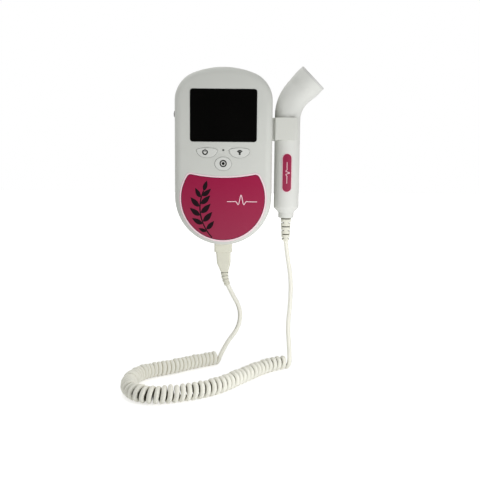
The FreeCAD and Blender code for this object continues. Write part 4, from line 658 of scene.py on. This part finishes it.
# ---------------------------------------------------------------- node helpers
def new_material(name):
    """Empty node material, its node tree and its surface shader."""
    material = bpy.data.materials.new(name)
    material.use_nodes = True
    tree = material.node_tree
    return material, tree, tree.nodes["Principled BSDF"]


def noise(tree, scale, detail):
    """Noise in the object's own coordinates."""
    place = tree.nodes.new("ShaderNodeTexCoord")
    texture = tree.nodes.new("ShaderNodeTexNoise")
    texture.inputs["Scale"].default_value = scale
    texture.inputs["Detail"].default_value = detail
    tree.links.new(place.outputs["Object"], texture.inputs["Vector"])
    return texture.outputs["Fac"]


def mapped(tree, value, source, target=(0.0, 1.0)):
    """Value carried from one range to another."""
    node = tree.nodes.new("ShaderNodeMapRange")
    node.inputs["From Min"].default_value = source[0]
    node.inputs["From Max"].default_value = source[1]
    node.inputs["To Min"].default_value = target[0]
    node.inputs["To Max"].default_value = target[1]
    tree.links.new(value, node.inputs["Value"])
    return node.outputs["Result"]


def computed(tree, operation, *values):
    """Result of a sum on outputs of other nodes and plain numbers."""
    node = tree.nodes.new("ShaderNodeMath")
    node.operation = operation
    for value, socket in zip(values, node.inputs):
        if isinstance(value, float):
            socket.default_value = value
        else:
            tree.links.new(value, socket)
    return node.outputs[0]


def along(tree, output, direction):
    """How far a vector points along a direction, -1 to 1."""
    node = tree.nodes.new("ShaderNodeVectorMath")
    node.operation = "DOT_PRODUCT"
    node.inputs[1].default_value = Vector(direction).normalized()
    tree.links.new(output, node.inputs[0])
    return node.outputs["Value"]


def two_colours(tree, factor, first, second, socket):
    """Drives a colour socket between two colours by a noise."""
    ramp = tree.nodes.new("ShaderNodeValToRGB")
    for element, position, colour in zip(ramp.color_ramp.elements, NOISE_RANGE, (first, second)):
        element.position = position
        element.color = (*colour, 1)
    tree.links.new(factor, ramp.inputs["Fac"])
    tree.links.new(ramp.outputs["Color"], socket)


def colour_towards(tree, factor, colour, at_one):
    """Leads the base colour over to another one, where a factor is one or where it is zero."""
    socket = tree.nodes["Principled BSDF"].inputs["Base Color"]
    mix = tree.nodes.new("ShaderNodeMix")
    mix.data_type = "RGBA"
    new, old = ("B", "A") if at_one else ("A", "B")
    tree.links.new(factor, mix.inputs["Factor"])
    mix.inputs[new].default_value = (*colour, 1)
    tree.links.new(socket.links[0].from_socket, mix.inputs[old])
    tree.links.new(mix.outputs["Result"], socket)


def ray_mask(tree, names):
    """1 for rays of any of the named kinds."""
    rays = tree.nodes.new("ShaderNodeLightPath")
    total = rays.outputs[names[0]]
    for name in names[1:]:
        total = computed(tree, "MAXIMUM", total, rays.outputs[name])
    return total


# ---------------------------------------------------------------- materials
def moulded(name, colour, roughness, grain=SPARK_GRAIN, depth=SPARK_DEPTH, clouding=CLOUDING):
    """Moulded plastic: fine spark texture, slight clouding and uneven gloss."""
    material, tree, shader = new_material(name)
    darker = tuple(channel * (1 - clouding) for channel in colour)
    clouds = noise(tree, CLOUD_SCALE, PLAIN_DETAIL)
    two_colours(tree, clouds, darker, colour, shader.inputs["Base Color"])
    gloss = (roughness - GLOSS_SPREAD, roughness + GLOSS_SPREAD)
    uneven = mapped(tree, noise(tree, GLOSS_SCALE, FINE_DETAIL), NOISE_RANGE, gloss)
    tree.links.new(uneven, shader.inputs["Roughness"])
    spark = tree.nodes.new("ShaderNodeBump")
    spark.inputs["Distance"].default_value = depth * MM
    tree.links.new(noise(tree, grain, PLAIN_DETAIL), spark.inputs["Height"])
    tree.links.new(spark.outputs["Normal"], shader.inputs["Normal"])
    return material


def paint_slot_shade(material, colour, reach):
    """Paints shade into a material inside narrow slots, between turns and under ribs."""
    tree = material.node_tree
    sky = tree.nodes.new("ShaderNodeAmbientOcclusion")
    sky.inputs["Distance"].default_value = reach * MM
    colour_towards(tree, mapped(tree, sky.outputs["AO"], SLOT_SHADE_RANGE), colour, at_one=False)


def paint_inside_shade(material, colour):
    """Paints shade on the cord where it faces the middle of the coil."""
    tree = material.node_tree
    inner = tree.nodes.new("ShaderNodeAttribute")
    inner.attribute_name = INNER_SIDE
    colour_towards(tree, mapped(tree, inner.outputs["Fac"], INSIDE_SHADE_RANGE), colour, at_one=True)


def inked(name, colour):
    """Matt printing ink."""
    material = moulded(name, colour, INK_ROUGHNESS, clouding=INK_CLOUDING)
    shader = material.node_tree.nodes["Principled BSDF"]
    shader.inputs["Specular IOR Level"].default_value = INK_SPECULAR
    return material


def metallic(name, colour, roughness, grain):
    """Bare metal with a fine uneven finish."""
    material = moulded(name, colour, roughness, grain, METAL_DEPTH, METAL_CLOUDING)
    shader = material.node_tree.nodes["Principled BSDF"]
    shader.inputs["Metallic"].default_value = 1.0
    return material


def lens(name):
    """Dark polished window with faint smudges in its gloss."""
    material, tree, shader = new_material(name)
    clouds = noise(tree, LENS_CLOUD_SCALE, PLAIN_DETAIL)
    two_colours(tree, clouds, *LENS_COLOURS, shader.inputs["Base Color"])
    smudges = mapped(tree, noise(tree, LENS_SMUDGE_SCALE, FINEST_DETAIL), NOISE_RANGE, LENS_ROUGHNESS)
    tree.links.new(smudges, shader.inputs["Roughness"])
    shader.inputs["IOR"].default_value = LENS_IOR
    return material


def printed_film(name, upper, lower, z_low, z_high):
    """Film in a colour that grows lighter towards its foot."""
    material, tree, shader = new_material(name)
    place = tree.nodes.new("ShaderNodeTexCoord")
    split = tree.nodes.new("ShaderNodeSeparateXYZ")
    tree.links.new(place.outputs["Object"], split.inputs[0])
    height = mapped(tree, split.outputs["Z"], (z_low * MM, z_high * MM))
    faded = computed(tree, "MULTIPLY_ADD", height, FILM_FADE_GAIN, FILM_FADE_START)
    grain = noise(tree, FILM_GRAIN, FINE_DETAIL)
    blend = computed(tree, "MULTIPLY_ADD", grain, FILM_FADE_NOISE, faded)
    two_colours(tree, blend, lower, upper, shader.inputs["Base Color"])
    gloss = mapped(tree, noise(tree, FILM_GLOSS_SCALE, FINE_DETAIL), NOISE_RANGE, FILM_ROUGHNESS)
    tree.links.new(gloss, shader.inputs["Roughness"])
    shader.inputs["Specular IOR Level"].default_value = FILM_SPECULAR
    return material


def make_materials():
    """One material for each finish."""
    made = {name: moulded(name, **look) for name, look in MOULDED.items()}
    made.update({name: metallic(name, **look) for name, look in METALLIC.items()})
    made.update({name: inked(name, colour) for name, colour in INKED.items()})
    made.update({name: printed_film(name, *look) for name, look in PRINTED_FILM.items()})
    made["window_black"] = lens("window_black")
    # painted shade in slots, between the coil's turns and under the relief's ribs
    for name, look in PAINTED_SLOT_SHADE.items():
        paint_slot_shade(made[name], *look)
    # painted shade on the cord's inner side, inside the coil
    paint_inside_shade(made["cord_cream"], COIL_INSIDE_SHADE)
    return made


# ---------------------------------------------------------------- studio
def make_camera():
    """Camera at the photograph's place."""
    pitch = math.radians(CAMERA_PITCH)
    roll = math.radians(CAMERA_ROLL)
    forward = Vector((0, math.cos(pitch), -math.sin(pitch)))
    level = Vector((1, 0, 0))
    raised = level.cross(forward)
    right = level * math.cos(roll) + raised * math.sin(roll)
    up = raised * math.cos(roll) - level * math.sin(roll)
    data = bpy.data.cameras.new("camera")
    data.sensor_width = SENSOR
    data.lens = CAMERA_FOCAL * SENSOR / FRAME_PIXELS
    data.clip_start, data.clip_end = CAMERA_CLIP
    camera = add_object("camera", data)
    turn = Matrix((right, up, -forward)).transposed().to_4x4()
    camera.matrix_world = Matrix.Translation(metres(CAMERA_PLACE)) @ turn
    bpy.context.scene.camera = camera


def make_floor():
    """Pale floor that keeps the object's shadow and shows white to the camera."""
    half = FLOOR_HALF
    level = SURFACE_Z * MM
    mesh = bpy.data.meshes.new("floor")
    corners = [(-half, -half, level), (half, -half, level), (half, half, level), (-half, half, level)]
    mesh.from_pydata(corners, [], [(0, 1, 2, 3)])
    material, tree, shader = new_material("floor_white")
    shader.inputs["Base Color"].default_value = (*FLOOR_COLOUR, 1)
    shader.inputs["Roughness"].default_value = FLOOR_ROUGHNESS
    shader.inputs["Specular IOR Level"].default_value = FLOOR_SPECULAR
    shader.inputs["Emission Color"].default_value = (1, 1, 1, 1)
    place = tree.nodes.new("ShaderNodeTexCoord")
    distance = tree.nodes.new("ShaderNodeVectorMath")
    distance.operation = "LENGTH"
    tree.links.new(place.outputs["Object"], distance.inputs[0])
    fade = mapped(tree, distance.outputs["Value"], FLOOR_FADE, FLOOR_GLOW)
    share = computed(tree, "MAXIMUM", ray_mask(tree, SEEN_RAYS), FLOOR_BOUNCE)
    glow = computed(tree, "MULTIPLY", share, fade)
    tree.links.new(glow, shader.inputs["Emission Strength"])
    mesh.materials.append(material)
    floor = add_object("floor", mesh)


def background(tree, colour, strength):
    """Background of one colour whose strength comes from another node."""
    node = tree.nodes.new("ShaderNodeBackground")
    node.inputs["Color"].default_value = (*colour, 1)
    tree.links.new(strength, node.inputs["Strength"])
    return node.outputs[0]


def make_world():
    """Even studio surround: white where it is seen, with a dark corner where the photographer stands."""
    world = bpy.data.worlds.new("studio")
    bpy.context.scene.world = world
    world.use_nodes = True
    tree = world.node_tree
    tree.nodes.clear()
    direction = tree.nodes.new("ShaderNodeTexCoord").outputs["Generated"]
    edge, middle = (math.cos(math.radians(angle)) for angle in reversed(DARK_CORNER_ANGLES))
    corner = mapped(tree, along(tree, direction, DARK_CORNER), (edge, middle))
    hidden = computed(tree, "MULTIPLY", corner, ray_mask(tree, ["Is Glossy Ray"]))
    brightness = mapped(tree, hidden, (0.0, 1.0), (1.0, DARK_CORNER_STRENGTH))
    seen = background(tree, (1, 1, 1), brightness)
    side = mapped(tree, along(tree, direction, BRIGHT_SIDE), (-1.0, 1.0), SURROUND_STRENGTH)
    surround = background(tree, SURROUND_COLOUR, side)
    choice = tree.nodes.new("ShaderNodeMixShader")
    output = tree.nodes.new("ShaderNodeOutputWorld")
    tree.links.new(ray_mask(tree, SEEN_RAYS), choice.inputs["Fac"])
    tree.links.new(surround, choice.inputs[1])
    tree.links.new(seen, choice.inputs[2])
    tree.links.new(choice.outputs[0], output.inputs["Surface"])


def make_lights():
    """Square soft lights: a key from the right and a weaker one from above."""
    for name, place, target, size, power in LIGHTS:
        data = bpy.data.lights.new(name, "AREA")
        data.size = size * MM
        data.energy = power
        light = add_object(name, data)
        light.visible_glossy = False
        light.location = metres(place)
        light.rotation_euler = (metres(target) - metres(place)).to_track_quat("-Z", "Y").to_euler()


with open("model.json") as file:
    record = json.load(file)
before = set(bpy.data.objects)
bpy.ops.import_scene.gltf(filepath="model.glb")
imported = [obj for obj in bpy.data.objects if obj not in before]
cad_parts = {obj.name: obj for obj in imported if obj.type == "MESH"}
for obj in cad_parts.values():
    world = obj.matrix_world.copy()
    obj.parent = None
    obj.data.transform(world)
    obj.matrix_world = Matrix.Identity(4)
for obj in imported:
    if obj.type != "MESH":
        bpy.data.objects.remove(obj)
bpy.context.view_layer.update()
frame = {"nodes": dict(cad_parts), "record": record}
nodes = frame["nodes"]
bpy.context.scene.view_settings.view_transform = "Standard"
materials = make_materials()
make_camera()
make_floor()
make_world()
make_lights()
for row in frame["record"]["subparts"]:
    mesh = nodes[row["node"]].data
    mesh.materials.clear()
    mesh.materials.append(materials[row["material_slot"]])
nodes["probe_strain_relief"].data.materials[0] = materials["relief_cream"]
make_cord(materials["cord_cream"])
make_film_prints(materials["print_pale"], materials["print_dark"], materials["print_plum"])
make_key_icons(materials["icon_grey"])
make_label_prints(materials["print_pale"])
